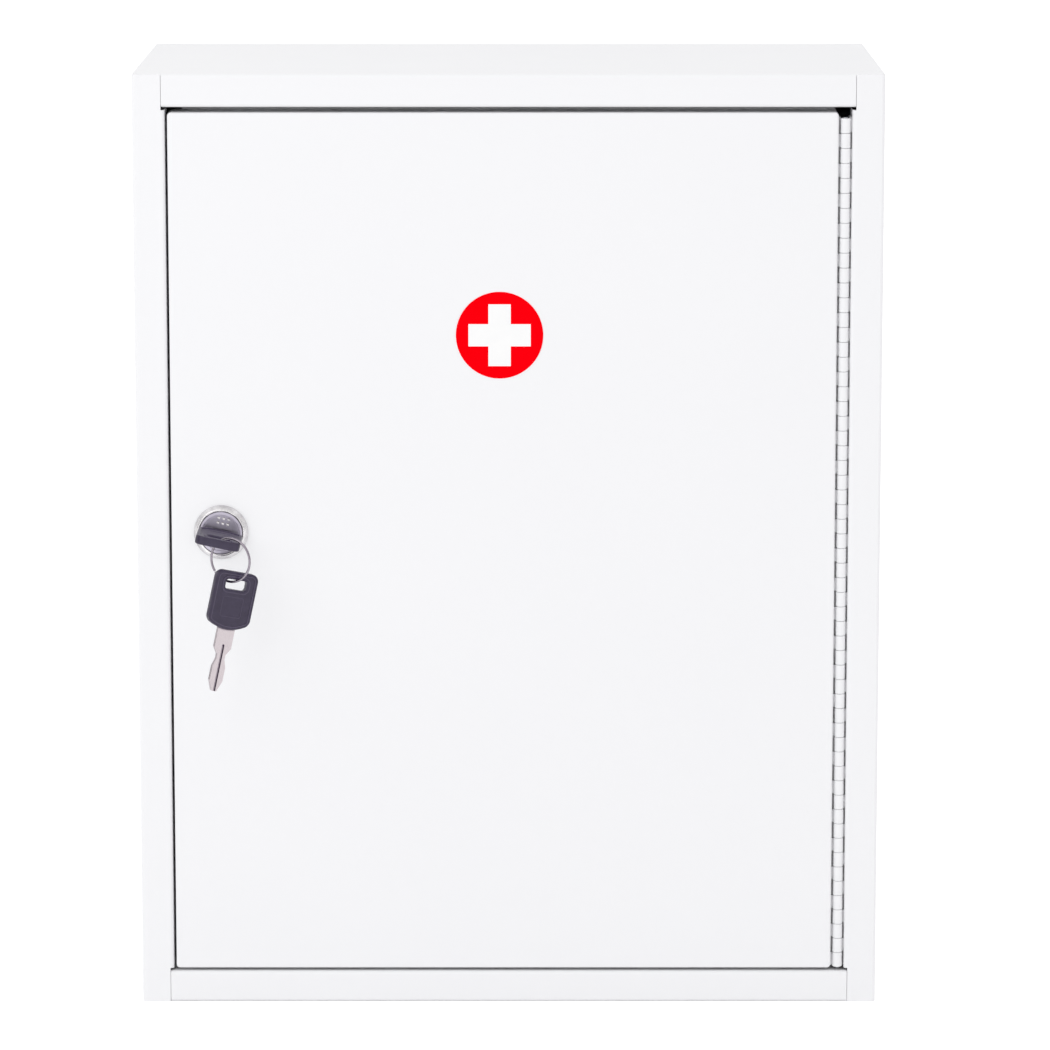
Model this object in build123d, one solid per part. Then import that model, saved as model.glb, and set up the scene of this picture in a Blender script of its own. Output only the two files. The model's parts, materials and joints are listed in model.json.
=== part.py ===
"""Lockable wall cabinet for medicines: folded steel case, one door on a continuous hinge, cam lock.

Millimetres. X runs to the right, Y from the front of the cabinet to the wall, Z up.
The origin is the middle of the underside. The door is shut, its lock is open and its key is in it.
"""
from build123d import *
from math import floor, sqrt
import os

# ---------------------------------------------------------------- folded steel
SHEET = 0.8                 # thickness of every folded sheet
BEND_RADIUS = 1.5           # outside radius of every fold

# ---------------------------------------------------------------- case
CASE_WIDTH = 300.0
CASE_DEPTH = 150.0
CASE_HEIGHT = 380.0
FRAME_FACE = 13.0           # width of the front frame round the door
FRAME_RETURN = 15.0         # how far the frame is folded back into the case
BACK_FLANGE = 12.0          # height of the flange along the back of the top and the bottom
CORNER_RELIEF = 1.2         # notch left open at each corner of the frame
SEAM_SET_BACK = 1.5         # seam between a stile and a rail, from the edge of the opening
SEAM_GAP = 0.15
TOP_CORNER = 2.0            # corners of the top and the bottom, cut back from the folds of the sides
TAB_DROP = 10.0             # height of the welded tabs at the ends of the top and the bottom
TAB_SET_BACK = 15.0         # distance of those tabs from the front and from the back
WALL_HOLE_RADIUS = 3.25
WALL_HOLE_INSET_X = 50.0    # wall-screw holes, from the side walls
WALL_HOLE_INSET_Z = 40.0    # and from the top and the underside

# ---------------------------------------------------------------- shelves
SHELF_LEVELS = {"lower": 125.0, "upper": 250.0}
SHELF_LIP = 12.0            # front lip, folded down
SHELF_UPSTAND = 8.0         # back lip, folded up
SHELF_SIDE_GAP = 1.0
SHELF_BACK_GAP = 1.5
SHELF_SET_BACK = 25.0       # front of a shelf, from the front of the case
LEDGE_WIDTH = 12.0
LEDGE_DROP = 10.0
LEDGE_FRONT_GAP = 2.0       # behind the shelf's front lip
LEDGE_LENGTH = 105.0

# ---------------------------------------------------------------- door
DOOR_DEPTH = 15.0
DOOR_LIP = 7.0              # lip folded in round the back of the door
DOOR_BEND = 1.0             # outside radius of the door's folds, pressed tighter than the case's
DOOR_CORNER = 1.4           # corner of the door's face
DOOR_GAP_LATCH = 1.0
DOOR_GAP_TOP = 2.2
DOOR_GAP_BOTTOM = 1.2
MITRE_SLIT = 0.5            # open mitre where two lips meet
STOP_GAP = 0.3              # between the shut door and the stop lips of the rails
STOP_REACH = 8.0            # how far a stop lip comes in from the edge of the opening
STOP_ROOT = 3.0             # overlap of a stop lip with the folded rail
STOP_INSET = 6.0            # ends of a stop lip, from the sides of the opening

# ---------------------------------------------------------------- continuous hinge
KNUCKLE_RADIUS = 2.0
KNUCKLE_PITCH = 6.0
KNUCKLE_END_GAP = 0.12
PIN_RADIUS = 1.0
PIN_PROUD = 0.3
RUNNING_FIT = 0.05          # radial clearance of every turning fit
LEAF = 0.95                 # thickness of a leaf
LEAF_DEPTH = 10.8           # from the pin to the leaf's inner edge
NECK_INSET = 0.4            # a neck is this much shorter than its knuckle, at each end
NECK_ROOT = 0.6             # how far a neck reaches into its knuckle
NECK_BACK = 0.5             # front of a neck, behind the pin's axis
NOTCH_DEPTH = 2.4           # notch round the other leaf's knuckle, behind the pin
HINGE_RECESS = 0.2          # knuckles, behind the face of the case
CASE_SIDE_GAP = 0.6         # knuckle to frame
DOOR_SIDE_GAP = 0.8         # knuckle to door
HINGE_GAP_BOTTOM = 0.3      # hinge, above the bottom edge of the door
HINGE_GAP_TOP = 2.3         # and below its top edge

# ---------------------------------------------------------------- emblem
EMBLEM_RADIUS = 17.5
EMBLEM_FILM = 0.15
CROSS_LENGTH = 25.0
CROSS_ARM = 9.0
EMBLEM_SHIFT = -1.4         # from the middle of the door
EMBLEM_DROP = 89.3          # from the top of the door

# ---------------------------------------------------------------- cam lock
# Lock lengths run outwards from the face of the door, so what is inside is negative.
LOCK_INSET = 20.0           # lock axis, from the latch edge of the door
LOCK_RISE = 181.2           # and from its bottom edge
LOCK_TURN = 12.0            # clockwise turn with which the lock was tightened in its round hole
BEZEL_RADIUS = 11.0
BEZEL_FACE_RADIUS = 9.5
BEZEL_EDGE = 0.7
BEZEL_HEIGHT = 2.4
BEZEL_SOFTENING = 0.3
BARREL_RADIUS = 9.0
BARREL_FLAT = 7.8           # from the axis to each flat
BARREL_LENGTH = 25.0
LOCK_HOLE_CLEARANCE = 0.25
WAFER_GROOVE_RADIUS = 7.2
WAFER_GROOVE_WIDTH = 5.9
WASHER_RADIUS = 12.0
WASHER = 0.8
NUT_ACROSS_FLATS = 22.0
NUT = 2.5

PLUG_HEAD_RADIUS = 8.6
PLUG_HEAD = 1.3
PLUG_RECESS = 0.2           # plug head, behind the rim of the bezel
PLUG_RADIUS = 6.0
PLUG_END_PLAY = 0.05
RIM_GROOVE_RADIUS = 7.3
RIM_GROOVE = 0.3
MARK_RADIUS = 0.55          # six plain dimples over the keyway
MARK_DEPTH = 0.25
MARK_PITCH = 2.0
MARK_RISE = 4.0
KEYWAY_CLEARANCE = 0.25
KEYWAY_END = 0.4
TAIL_WIDTH = 8.0            # square tail that carries the cam
TAIL_CORNER_RADIUS = 5.2
TAIL_SHORT = 0.1            # the cam stands this much past the tail, so that its screw clamps it

WAFER_COUNT = 5
WAFER_PITCH = 3.0
WAFER_FIRST = 4.0           # depth of the first wafer behind the face of the door
WAFER = 0.95
WAFER_WIDTH = 5.4
WAFER_SLOT_GAP = 0.08
WAFER_END_GAP = 0.1
WAFER_WINDOW_GAP = 0.3
LUG_WIDTH = 0.9
LUG_FROM = 3.0              # spring seat of a wafer, from the lock axis
LUG_TO = 4.0
SPRING_RADIUS = 0.35
SPRING_FROM = -1.0
SPRING_GAP = 0.05

CAM = 2.0                   # thickness
CAM_HUB_RADIUS = 8.0
CAM_REACH = 27.0
CAM_WIDTH = 11.0
CAM_FIT = 0.05
CAM_SLACK = 0.8             # between the cam and the lip that it locks behind
CRANK_START = 12.5          # radii between which the cam is cranked forwards
CRANK_END = 16.5
CRANK_BEND = 1.2
CAM_WASHER_RADIUS = 4.8
CAM_WASHER = 0.8
SCREW_RADIUS = 2.45
SCREW_HEAD_RADIUS = 4.6
SCREW_HEAD = 2.6
SCREW_LENGTH = 5.0
SCREW_CROSS = 4.6
SCREW_CROSS_WIDTH = 1.0
SCREW_CROSS_DEPTH = 1.3
SCREW_END_GAP = 0.3

# ---------------------------------------------------------------- keys and their ring
# A key lies flat about its own origin, the middle of the bow's blade end: the bow towards +Y.
BOW_WIDTH = 18.0
BOW_LENGTH = 23.5
BOW_THICKNESS = 3.5
BOW_BULGE = 3.0             # height of the arc at the blade end
BOW_TOP_CORNER = 3.0
BOW_SHOULDER_CORNER = 1.8
BOW_SOFTENING = 0.5
BOW_BAR = 3.2               # bar between the slot and the end of the bow
BOW_SLOT_LENGTH = 9.0
BOW_SLOT_WIDTH = 4.1
BOW_SLOT_CORNER = 1.2
BOW_PANEL_WIDTH = 9.0       # shallow plain panel on each face
BOW_PANEL_LENGTH = 8.0
BOW_PANEL_MIDDLE = 9.2
BOW_PANEL_CORNER = 0.8
BOW_PANEL_DEPTH = 0.3
TANG_LENGTH = 6.0           # part of the blade that is moulded into the bow
BLADE = 1.9
BLADE_LENGTH = 25.4
BLADE_WIDTH = 7.1
SHOULDER_LENGTH = 7.6       # full width next to the bow
NECK_WIDTH = 3.5
NECK_START = 10.4
NECK_END = 12.2
BIT_WIDTH = 5.5             # widest part past the neck
BIT_START = 15.4
BIT_END = 21.0
TIP_WIDTH = 2.0
BLADE_GROOVE = 1.0
BLADE_GROOVE_DEPTH = 0.7
BLADE_GROOVE_START = 6.6
KEY_STAND_OFF = 2.0         # blade showing between the plug and the bow

RING_RADIUS = 8.8           # to the middle of the wire
WIRE_RADIUS = 0.5
RING_YAW = 27.0             # the ring's right side comes forward by this angle
RING_SHIFT = 5.0            # ring, to the right of the lock axis
RING_INWARD = 2.1           # ring, from the middle of the bow's bar towards the lock
RING_SETTLE = 0.62          # the tilted bow lets the ring hang this much lower
RING_BUTT = 2.0             # degrees left open where the wire's ends meet
RING_BUTT_AT = 215.0
SPARE_LEAN = 13.0           # the spare key's tip hangs to the left
SPARE_YAW = 23.0            # and its right side is turned away by this angle
SPARE_HOLD = -2.1           # where the ring holds the spare key's slot, from its middle
SPARE_HANG = 1.2            # middle of the ring's wire, below the bar that hangs on it

# ---------------------------------------------------------------- places worked out from the sizes
LEFT, RIGHT = -CASE_WIDTH / 2, CASE_WIDTH / 2
FRONT, BACK = -CASE_DEPTH / 2, CASE_DEPTH / 2
OPENING_LEFT, OPENING_RIGHT = LEFT + FRAME_FACE, RIGHT - FRAME_FACE
OPENING_BOTTOM, OPENING_TOP = FRAME_FACE, CASE_HEIGHT - FRAME_FACE
SEAM = OPENING_RIGHT + SEAM_SET_BACK
RETURN_BACK = FRONT + FRAME_RETURN
INSIDE_WIDTH = CASE_WIDTH - 2 * SHEET
INSIDE_DEPTH = CASE_DEPTH - 2 * SHEET

HINGE_X = OPENING_RIGHT - CASE_SIDE_GAP - KNUCKLE_RADIUS
HINGE_Y = FRONT + HINGE_RECESS + KNUCKLE_RADIUS

DOOR_LEFT = OPENING_LEFT + DOOR_GAP_LATCH
DOOR_RIGHT = HINGE_X - KNUCKLE_RADIUS - DOOR_SIDE_GAP
DOOR_BOTTOM = OPENING_BOTTOM + DOOR_GAP_BOTTOM
DOOR_TOP = OPENING_TOP - DOOR_GAP_TOP
DOOR_WIDTH = DOOR_RIGHT - DOOR_LEFT
DOOR_HEIGHT = DOOR_TOP - DOOR_BOTTOM
DOOR_BACK = FRONT + DOOR_DEPTH

HINGE_BOTTOM = DOOR_BOTTOM + HINGE_GAP_BOTTOM
KNUCKLES = floor((DOOR_HEIGHT - HINGE_GAP_BOTTOM - HINGE_GAP_TOP) / KNUCKLE_PITCH + 0.001)
HINGE_LENGTH = KNUCKLES * KNUCKLE_PITCH

LOCK_X = DOOR_LEFT + LOCK_INSET
LOCK_Z = DOOR_BOTTOM + LOCK_RISE
PLUG_FACE = BEZEL_HEIGHT - PLUG_RECESS
PLUG_SEAT = PLUG_FACE - PLUG_HEAD
PLUG_END = -BARREL_LENGTH - PLUG_END_PLAY
CAM_BACK = PLUG_END - CAM
CAM_TIP_FRONT = FRONT - RETURN_BACK - CAM_SLACK
WASHER_BACK = CAM_BACK - CAM_WASHER
KEY_SEAT = PLUG_FACE + KEY_STAND_OFF
KEYWAY_BOTTOM = KEY_SEAT - BLADE_LENGTH - KEYWAY_END


def block(x, y, z):
    """Box between two limits on each axis."""
    middle = [(low + high) / 2 for low, high in (x, y, z)]
    return Pos(*middle) * Box(x[1] - x[0], y[1] - y[0], z[1] - z[0])


def disc(radius, low, high):
    """Cylinder on the Z axis between two heights."""
    return Pos(0, 0, (low + high) / 2) * Cylinder(radius, high - low)


def folded_sheet(outline, length, thickness=SHEET, radius=BEND_RADIUS):
    """Sheet folded along an outline whose right-hand side is metal, raised to a length."""
    path = FilletPolyline(*outline, radius=radius)
    section = make_face(offset(path, thickness, side=Side.RIGHT))
    return extrude(section, length, dir=(0, 0, 1))


def across(solid, width):
    """Turn a raised (Y, Z) section so that it runs from left to right, about the middle."""
    return Plane.YZ * (Pos(0, 0, -width / 2) * solid)


def on_front(x, z):
    """Frame on the front face: X to the right, Y up and Z out towards the viewer."""
    return Plane(origin=(x, FRONT, z), x_dir=(1, 0, 0), z_dir=(0, -1, 0)).location


LOCK = on_front(LOCK_X, LOCK_Z) * Rot(0, 0, -LOCK_TURN)


# ================================================================ case
def left_side_panel():
    """Left wall, folded round to the front frame and to the back flange."""
    frame_height = OPENING_TOP - OPENING_BOTTOM - 2 * CORNER_RELIEF
    wall = [(LEFT, FRONT), (LEFT, BACK), (-SEAM, BACK)]
    framed = folded_sheet([(OPENING_LEFT, RETURN_BACK), (OPENING_LEFT, FRONT)] + wall, frame_height)
    full = folded_sheet([(-SEAM, FRONT)] + wall, CASE_HEIGHT)
    return full + Pos(0, 0, OPENING_BOTTOM + CORNER_RELIEF) * framed


def right_side_panel():
    return mirror(left_side_panel(), about=Plane.YZ)


def stop_lip():
    """End of the top rail, folded down behind the shut door."""
    stop = DOOR_BACK + STOP_GAP
    outline = [
        (stop, OPENING_TOP - STOP_REACH), (stop, OPENING_TOP), (RETURN_BACK - STOP_ROOT, OPENING_TOP)
    ]
    width = OPENING_RIGHT - OPENING_LEFT - 2 * STOP_INSET
    return across(folded_sheet(outline, width), width)


def top_panel():
    """Top, folded down to the front rail and the back flange, with a stop lip and two welding tabs."""
    outline = [
        (RETURN_BACK, OPENING_TOP), (FRONT, OPENING_TOP), (FRONT, CASE_HEIGHT),
        (BACK, CASE_HEIGHT), (BACK, CASE_HEIGHT - BACK_FLANGE),
    ]
    width = 2 * (SEAM - SEAM_GAP)
    middle = across(folded_sheet(outline, width), width)
    plate = extrude(RectangleRounded(INSIDE_WIDTH, INSIDE_DEPTH, TOP_CORNER), SHEET)
    ends = Pos(0, 0, CASE_HEIGHT - SHEET) * (plate - Box(width, CASE_DEPTH, 4 * SHEET))
    tab = block(
        (INSIDE_WIDTH / 2 - SHEET, INSIDE_WIDTH / 2),
        (FRONT + TAB_SET_BACK, BACK - TAB_SET_BACK),
        (CASE_HEIGHT - TAB_DROP, CASE_HEIGHT - SHEET),
    )
    return middle + stop_lip() + ends + tab + mirror(tab, about=Plane.YZ)


def bottom_panel():
    return mirror(top_panel(), about=Plane.XY.offset(CASE_HEIGHT / 2))


def back_panel():
    """Flat sheet welded inside the back flanges, with four wall-screw holes."""
    half_width = INSIDE_WIDTH / 2 - SHEET
    sheet = block(
        (-half_width, half_width), (BACK - 2 * SHEET, BACK - SHEET), (2 * SHEET, CASE_HEIGHT - 2 * SHEET)
    )
    drill = Rot(90, 0, 0) * Cylinder(WALL_HOLE_RADIUS, 4 * SHEET)
    for x in (LEFT + WALL_HOLE_INSET_X, RIGHT - WALL_HOLE_INSET_X):
        for z in (WALL_HOLE_INSET_Z, CASE_HEIGHT - WALL_HOLE_INSET_Z):
            sheet -= Pos(x, BACK - 1.5 * SHEET, z) * drill
    return sheet


# ================================================================ shelves
SHELF_FRONT = FRONT + SHELF_SET_BACK
SHELF_BACK = BACK - 2 * SHEET - SHELF_BACK_GAP


def shelf(level):
    """Loose shelf: front lip folded down, back lip folded up."""
    top = level + SHEET
    rear = SHELF_BACK - SHEET
    outline = [(SHELF_FRONT, top - SHELF_LIP), (SHELF_FRONT, top), (rear, top), (rear, top + SHELF_UPSTAND)]
    width = INSIDE_WIDTH - 2 * SHELF_SIDE_GAP
    return across(folded_sheet(outline, width), width)


def shelf_ledges(level):
    """Pair of angle strips, welded to the side walls, on which a shelf lies."""
    wall = -INSIDE_WIDTH / 2
    outline = [(wall, level - LEDGE_DROP), (wall, level), (wall + LEDGE_WIDTH, level)]
    front = SHELF_FRONT + SHEET + LEDGE_FRONT_GAP
    strip = Pos(0, front + LEDGE_LENGTH, 0) * (Plane.XZ * folded_sheet(outline, LEDGE_LENGTH))
    return Compound(children=[strip, mirror(strip, about=Plane.YZ)])


# ================================================================ door
DOOR_PLACE = on_front((DOOR_LEFT + DOOR_RIGHT) / 2, (DOOR_BOTTOM + DOOR_TOP) / 2)


def folded_slab(inset, front, back, corner):
    """Rounded slab, smaller than the door by an inset all round, between two depths."""
    outline = RectangleRounded(DOOR_WIDTH - 2 * inset, DOOR_HEIGHT - 2 * inset, DOOR_CORNER - inset)
    slab = Pos(0, 0, -front) * extrude(outline, back - front, dir=(0, 0, -1))
    return fillet(slab.faces().sort_by(Axis.Z)[-1].edges(), corner)


def door_panel():
    """Shallow pan: skin, four sides and a lip all round the back, with the round hole of the lock."""
    pan = folded_slab(0, 0, DOOR_DEPTH, DOOR_BEND)
    pan -= folded_slab(SHEET, SHEET, DOOR_DEPTH - SHEET, DOOR_BEND - SHEET)
    mouth = Rectangle(DOOR_WIDTH - 2 * DOOR_LIP, DOOR_HEIGHT - 2 * DOOR_LIP)
    pan -= Pos(0, 0, -DOOR_DEPTH) * extrude(mouth, 2 * SHEET, both=True)
    slit_end = DOOR_LIP + MITRE_SLIT
    slit_length = (slit_end - DOOR_CORNER) * sqrt(2)
    slit_inset = (slit_end + DOOR_CORNER) / 2
    for side_x in (-1, 1):
        for side_y in (-1, 1):
            x, y = side_x * (DOOR_WIDTH / 2 - slit_inset), side_y * (DOOR_HEIGHT / 2 - slit_inset)
            slit = Box(slit_length, MITRE_SLIT, 4 * SHEET)
            pan -= Pos(x, y, -DOOR_DEPTH) * Rot(0, 0, 45 * side_x * side_y) * slit
    hole = Cylinder(BARREL_RADIUS + LOCK_HOLE_CLEARANCE, 4 * SHEET)
    return DOOR_PLACE * pan - LOCK * hole


def emblem():
    """Round film and the cross inlaid in it, both flat on the door."""
    place = DOOR_PLACE * Pos(EMBLEM_SHIFT, DOOR_HEIGHT / 2 - EMBLEM_DROP, 0)
    cross = Rectangle(CROSS_LENGTH, CROSS_ARM) + Rectangle(CROSS_ARM, CROSS_LENGTH)
    film = extrude(Circle(EMBLEM_RADIUS) - cross, EMBLEM_FILM)
    return place * film, place * extrude(cross, EMBLEM_FILM)


# ================================================================ continuous hinge
def hinge_leaf(reach, first):
    """Leaf to the right of a pin on the Z axis, with every second knuckle from the given one."""
    leaf = [block((reach - LEAF, reach), (NOTCH_DEPTH, LEAF_DEPTH), (0, HINGE_LENGTH))]
    for number in range(first, KNUCKLES, 2):
        low, high = number * KNUCKLE_PITCH, (number + 1) * KNUCKLE_PITCH
        leaf.append(disc(KNUCKLE_RADIUS, low + KNUCKLE_END_GAP / 2, high - KNUCKLE_END_GAP / 2))
        neck_span = (low + NECK_INSET, high - NECK_INSET)
        neck_root = KNUCKLE_RADIUS - NECK_ROOT
        leaf.append(block((neck_root, reach), (NECK_BACK, NOTCH_DEPTH), neck_span))
    solid = leaf[0] + leaf[1:]
    return solid - disc(PIN_RADIUS + RUNNING_FIT, -KNUCKLE_PITCH, HINGE_LENGTH + KNUCKLE_PITCH)


def hinge():
    """Leaf on the case, leaf on the door, and the pin that stays with the case."""
    place = Pos(HINGE_X, HINGE_Y, HINGE_BOTTOM)
    case_leaf = hinge_leaf(KNUCKLE_RADIUS + CASE_SIDE_GAP, 1)
    door_leaf = mirror(hinge_leaf(KNUCKLE_RADIUS + DOOR_SIDE_GAP, 0), about=Plane.YZ)
    pin = disc(PIN_RADIUS, -PIN_PROUD, HINGE_LENGTH + PIN_PROUD)
    return place * case_leaf, place * door_leaf, place * pin


# ================================================================ cam lock, about its own axis
def lock_body():
    """Bezel and threaded barrel, bored for the plug, grooved inside for the wafers."""
    bore = PLUG_RADIUS + RUNNING_FIT
    recess = PLUG_HEAD_RADIUS + RUNNING_FIT
    half = Polyline(
        (bore, -BARREL_LENGTH), (BARREL_RADIUS, -BARREL_LENGTH), (BARREL_RADIUS, 0), (BEZEL_RADIUS, 0),
        (BEZEL_RADIUS, BEZEL_EDGE), (BEZEL_FACE_RADIUS, BEZEL_HEIGHT), (recess, BEZEL_HEIGHT),
        (recess, PLUG_SEAT - PLUG_END_PLAY), (bore, PLUG_SEAT - PLUG_END_PLAY), close=True,
    )
    section = make_face(half)
    rim = section.vertices().filter_by(lambda v: v.Y > BEZEL_EDGE - 0.01 and v.X > recess + 0.01)
    section = fillet(rim, BEZEL_SOFTENING)
    body = revolve(Plane.XZ * section, Axis.Z)
    for side in (-1, 1):
        flat = block(
            (-BEZEL_RADIUS, BEZEL_RADIUS), (BARREL_FLAT, BEZEL_RADIUS), (-BARREL_LENGTH - 1, 0)
        )
        body -= Rot(0, 0, 90 + 90 * side) * flat
        groove = block(
            (0, WAFER_GROOVE_RADIUS), (-WAFER_GROOVE_WIDTH / 2, WAFER_GROOVE_WIDTH / 2),
            (-BARREL_LENGTH + WAFER_FIRST, -WAFER_FIRST / 2),
        )
        body -= Rot(0, 0, 90 + 90 * side) * groove
    return body


def lock_washer():
    hole = disc(BARREL_RADIUS + LOCK_HOLE_CLEARANCE, -BARREL_LENGTH, 0)
    return disc(WASHER_RADIUS, -SHEET - WASHER, -SHEET) - hole


def lock_nut():
    front = -SHEET - WASHER
    hexagon = extrude(RegularPolygon(NUT_ACROSS_FLATS / 2, 6, major_radius=False), NUT, dir=(0, 0, -1))
    return Pos(0, 0, front) * hexagon - disc(BARREL_RADIUS + RUNNING_FIT, -BARREL_LENGTH, 0)


def wafer_depths():
    """Middle of each wafer along the lock axis."""
    return [-WAFER_FIRST - number * WAFER_PITCH for number in range(WAFER_COUNT)]


def wafer_slot(depth):
    """Slot through the plug for one wafer, with the pocket of its spring."""
    half = WAFER / 2 + WAFER_SLOT_GAP
    side = WAFER_WIDTH / 2 + WAFER_SLOT_GAP
    thick = (depth - half, depth + half)
    pocket = (SPRING_FROM - SPRING_GAP, LUG_TO + WAFER_SLOT_GAP)
    slot = block((-2 * PLUG_RADIUS, 2 * PLUG_RADIUS), (-side, side), thick)
    return slot + block(pocket, (0, side + LUG_WIDTH), thick)


def lock_wafers():
    """Flat wafers with a window for the key and a lug for the spring."""
    window = block(
        (-BLADE_WIDTH / 2 - WAFER_WINDOW_GAP, BLADE_WIDTH / 2 + WAFER_WINDOW_GAP),
        (-BLADE / 2 - WAFER_WINDOW_GAP, BLADE / 2 + WAFER_WINDOW_GAP),
        (-WAFER, WAFER),
    )
    side = WAFER_WIDTH / 2
    lug = block((LUG_FROM, LUG_TO), (0, side + LUG_WIDTH - WAFER_SLOT_GAP), (-WAFER / 2, WAFER / 2))
    plate = Box(2 * PLUG_RADIUS, WAFER_WIDTH, WAFER) + lug
    wafer = (plate & Cylinder(PLUG_RADIUS - WAFER_END_GAP, WAFER)) - window
    return Compound(children=[Pos(0, 0, depth) * wafer for depth in wafer_depths()])


def wafer_springs():
    """One spring behind the lug of each wafer, as its outer shape."""
    length = LUG_FROM - SPRING_FROM - 2 * SPRING_GAP
    side = WAFER_WIDTH / 2 + WAFER_SLOT_GAP + LUG_WIDTH / 2
    spring = Rot(0, 90, 0) * Cylinder(SPRING_RADIUS, length)
    return Compound(
        children=[Pos((SPRING_FROM + LUG_FROM) / 2, side, depth) * spring for depth in wafer_depths()]
    )


def lock_plug():
    """Turning plug: face with its keyway, shank with the wafer slots, square tail for the cam."""
    shank = disc(PLUG_RADIUS, PLUG_END, PLUG_SEAT)
    head = disc(PLUG_HEAD_RADIUS, PLUG_SEAT, PLUG_FACE)
    tail_back = CAM_BACK + TAIL_SHORT
    tail = block((-TAIL_WIDTH / 2, TAIL_WIDTH / 2), (-TAIL_WIDTH / 2, TAIL_WIDTH / 2), (tail_back, PLUG_END))
    plug = shank + head + (tail & disc(TAIL_CORNER_RADIUS, tail_back, PLUG_END))
    half_length, half_width = BLADE_WIDTH / 2 + KEYWAY_CLEARANCE, BLADE / 2 + KEYWAY_CLEARANCE
    plug -= block((-half_length, half_length), (-half_width, half_width), (KEYWAY_BOTTOM, PLUG_FACE + 1))
    plug -= [wafer_slot(depth) for depth in wafer_depths()]
    plug -= disc(SCREW_RADIUS + RUNNING_FIT, tail_back - 1, WASHER_BACK + SCREW_LENGTH + SCREW_END_GAP)
    rim = disc(RIM_GROOVE_RADIUS, PLUG_FACE - RIM_GROOVE, PLUG_FACE + 1)
    plug -= rim - disc(RIM_GROOVE_RADIUS - RIM_GROOVE, -1, PLUG_FACE + 1)
    for row in (0, 1):
        for column in (-1, 0, 1):
            mark = Pos(column * MARK_PITCH, MARK_RISE + row * MARK_PITCH, PLUG_FACE)
            plug -= mark * Cylinder(MARK_RADIUS, 2 * MARK_DEPTH)
    return plug


def lock_cam():
    """Cranked steel cam, pointing down while the lock is open."""
    middle_back, middle_front = CAM_BACK + CAM / 2, CAM_TIP_FRONT - CAM / 2
    path = FilletPolyline(
        (-CAM_HUB_RADIUS - 1, middle_back), (CRANK_START, middle_back),
        (CRANK_END, middle_front), (CAM_REACH + 1, middle_front), radius=CRANK_BEND,
    )
    strip = extrude(make_face(offset(path, CAM / 2)), CAM_HUB_RADIUS, both=True)
    end = CAM_WIDTH / 2
    outline = Circle(CAM_HUB_RADIUS) + Pos(CAM_REACH - end, 0) * Circle(end)
    outline += Pos((CAM_REACH - end) / 2, 0) * Rectangle(CAM_REACH - end, CAM_WIDTH)
    cam = Plane.XZ * strip & extrude(outline, 2 * BARREL_LENGTH, both=True)
    square = TAIL_WIDTH + 2 * CAM_FIT
    return Rot(0, 0, -90) * (cam - Pos(0, 0, CAM_BACK) * Box(square, square, 4 * CAM))


def cam_washer():
    hole = disc(SCREW_RADIUS + RUNNING_FIT, WASHER_BACK, CAM_BACK)
    return disc(CAM_WASHER_RADIUS, WASHER_BACK, CAM_BACK) - hole


def cam_screw():
    """Pan-head screw with a cross recess."""
    head_back = WASHER_BACK - SCREW_HEAD
    head = disc(SCREW_HEAD_RADIUS, head_back, WASHER_BACK)
    head = fillet(head.edges().filter_by(GeomType.CIRCLE).sort_by(Axis.Z)[0], SCREW_HEAD / 2)
    recess = Box(SCREW_CROSS, SCREW_CROSS_WIDTH, 2 * SCREW_CROSS_DEPTH)
    recess += Rot(0, 0, 90) * recess
    shank = disc(SCREW_RADIUS, WASHER_BACK, WASHER_BACK + SCREW_LENGTH)
    return head + shank - Pos(0, 0, head_back) * recess


# ================================================================ keys and their ring
SLOT_MIDDLE = BOW_LENGTH - BOW_BAR - BOW_SLOT_WIDTH / 2


def key_blade():
    """Stamped blade: shoulder, neck, bit and pointed tip, with a long groove in each face."""
    right_side = [
        (BLADE_WIDTH / 2, TANG_LENGTH), (BLADE_WIDTH / 2, -SHOULDER_LENGTH), (NECK_WIDTH / 2, -NECK_START),
        (NECK_WIDTH / 2, -NECK_END), (BIT_WIDTH / 2, -BIT_START), (BIT_WIDTH / 2, -BIT_END),
        (TIP_WIDTH / 2, -BLADE_LENGTH),
    ]
    left_side = [(-x, y) for x, y in reversed(right_side)]
    outline = make_face(Polyline(*right_side, *left_side, close=True))
    tip = outline.vertices().filter_by(lambda v: v.Y < -BLADE_LENGTH + 0.01)
    outline = fillet(tip, TIP_WIDTH * 0.4)
    blade = Pos(0, 0, -BLADE / 2) * extrude(outline, BLADE)
    groove_length = BLADE_LENGTH - BLADE_GROOVE_START
    groove = Rectangle(BLADE_GROOVE, 2 * groove_length) + Pos(0, groove_length) * Circle(BLADE_GROOVE / 2)
    for face in (BLADE / 2, -BLADE / 2):
        cut = extrude(groove, BLADE_GROOVE_DEPTH, both=True)
        blade -= Pos(0, -BLADE_GROOVE_START - groove_length, face) * cut
    return blade


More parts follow.
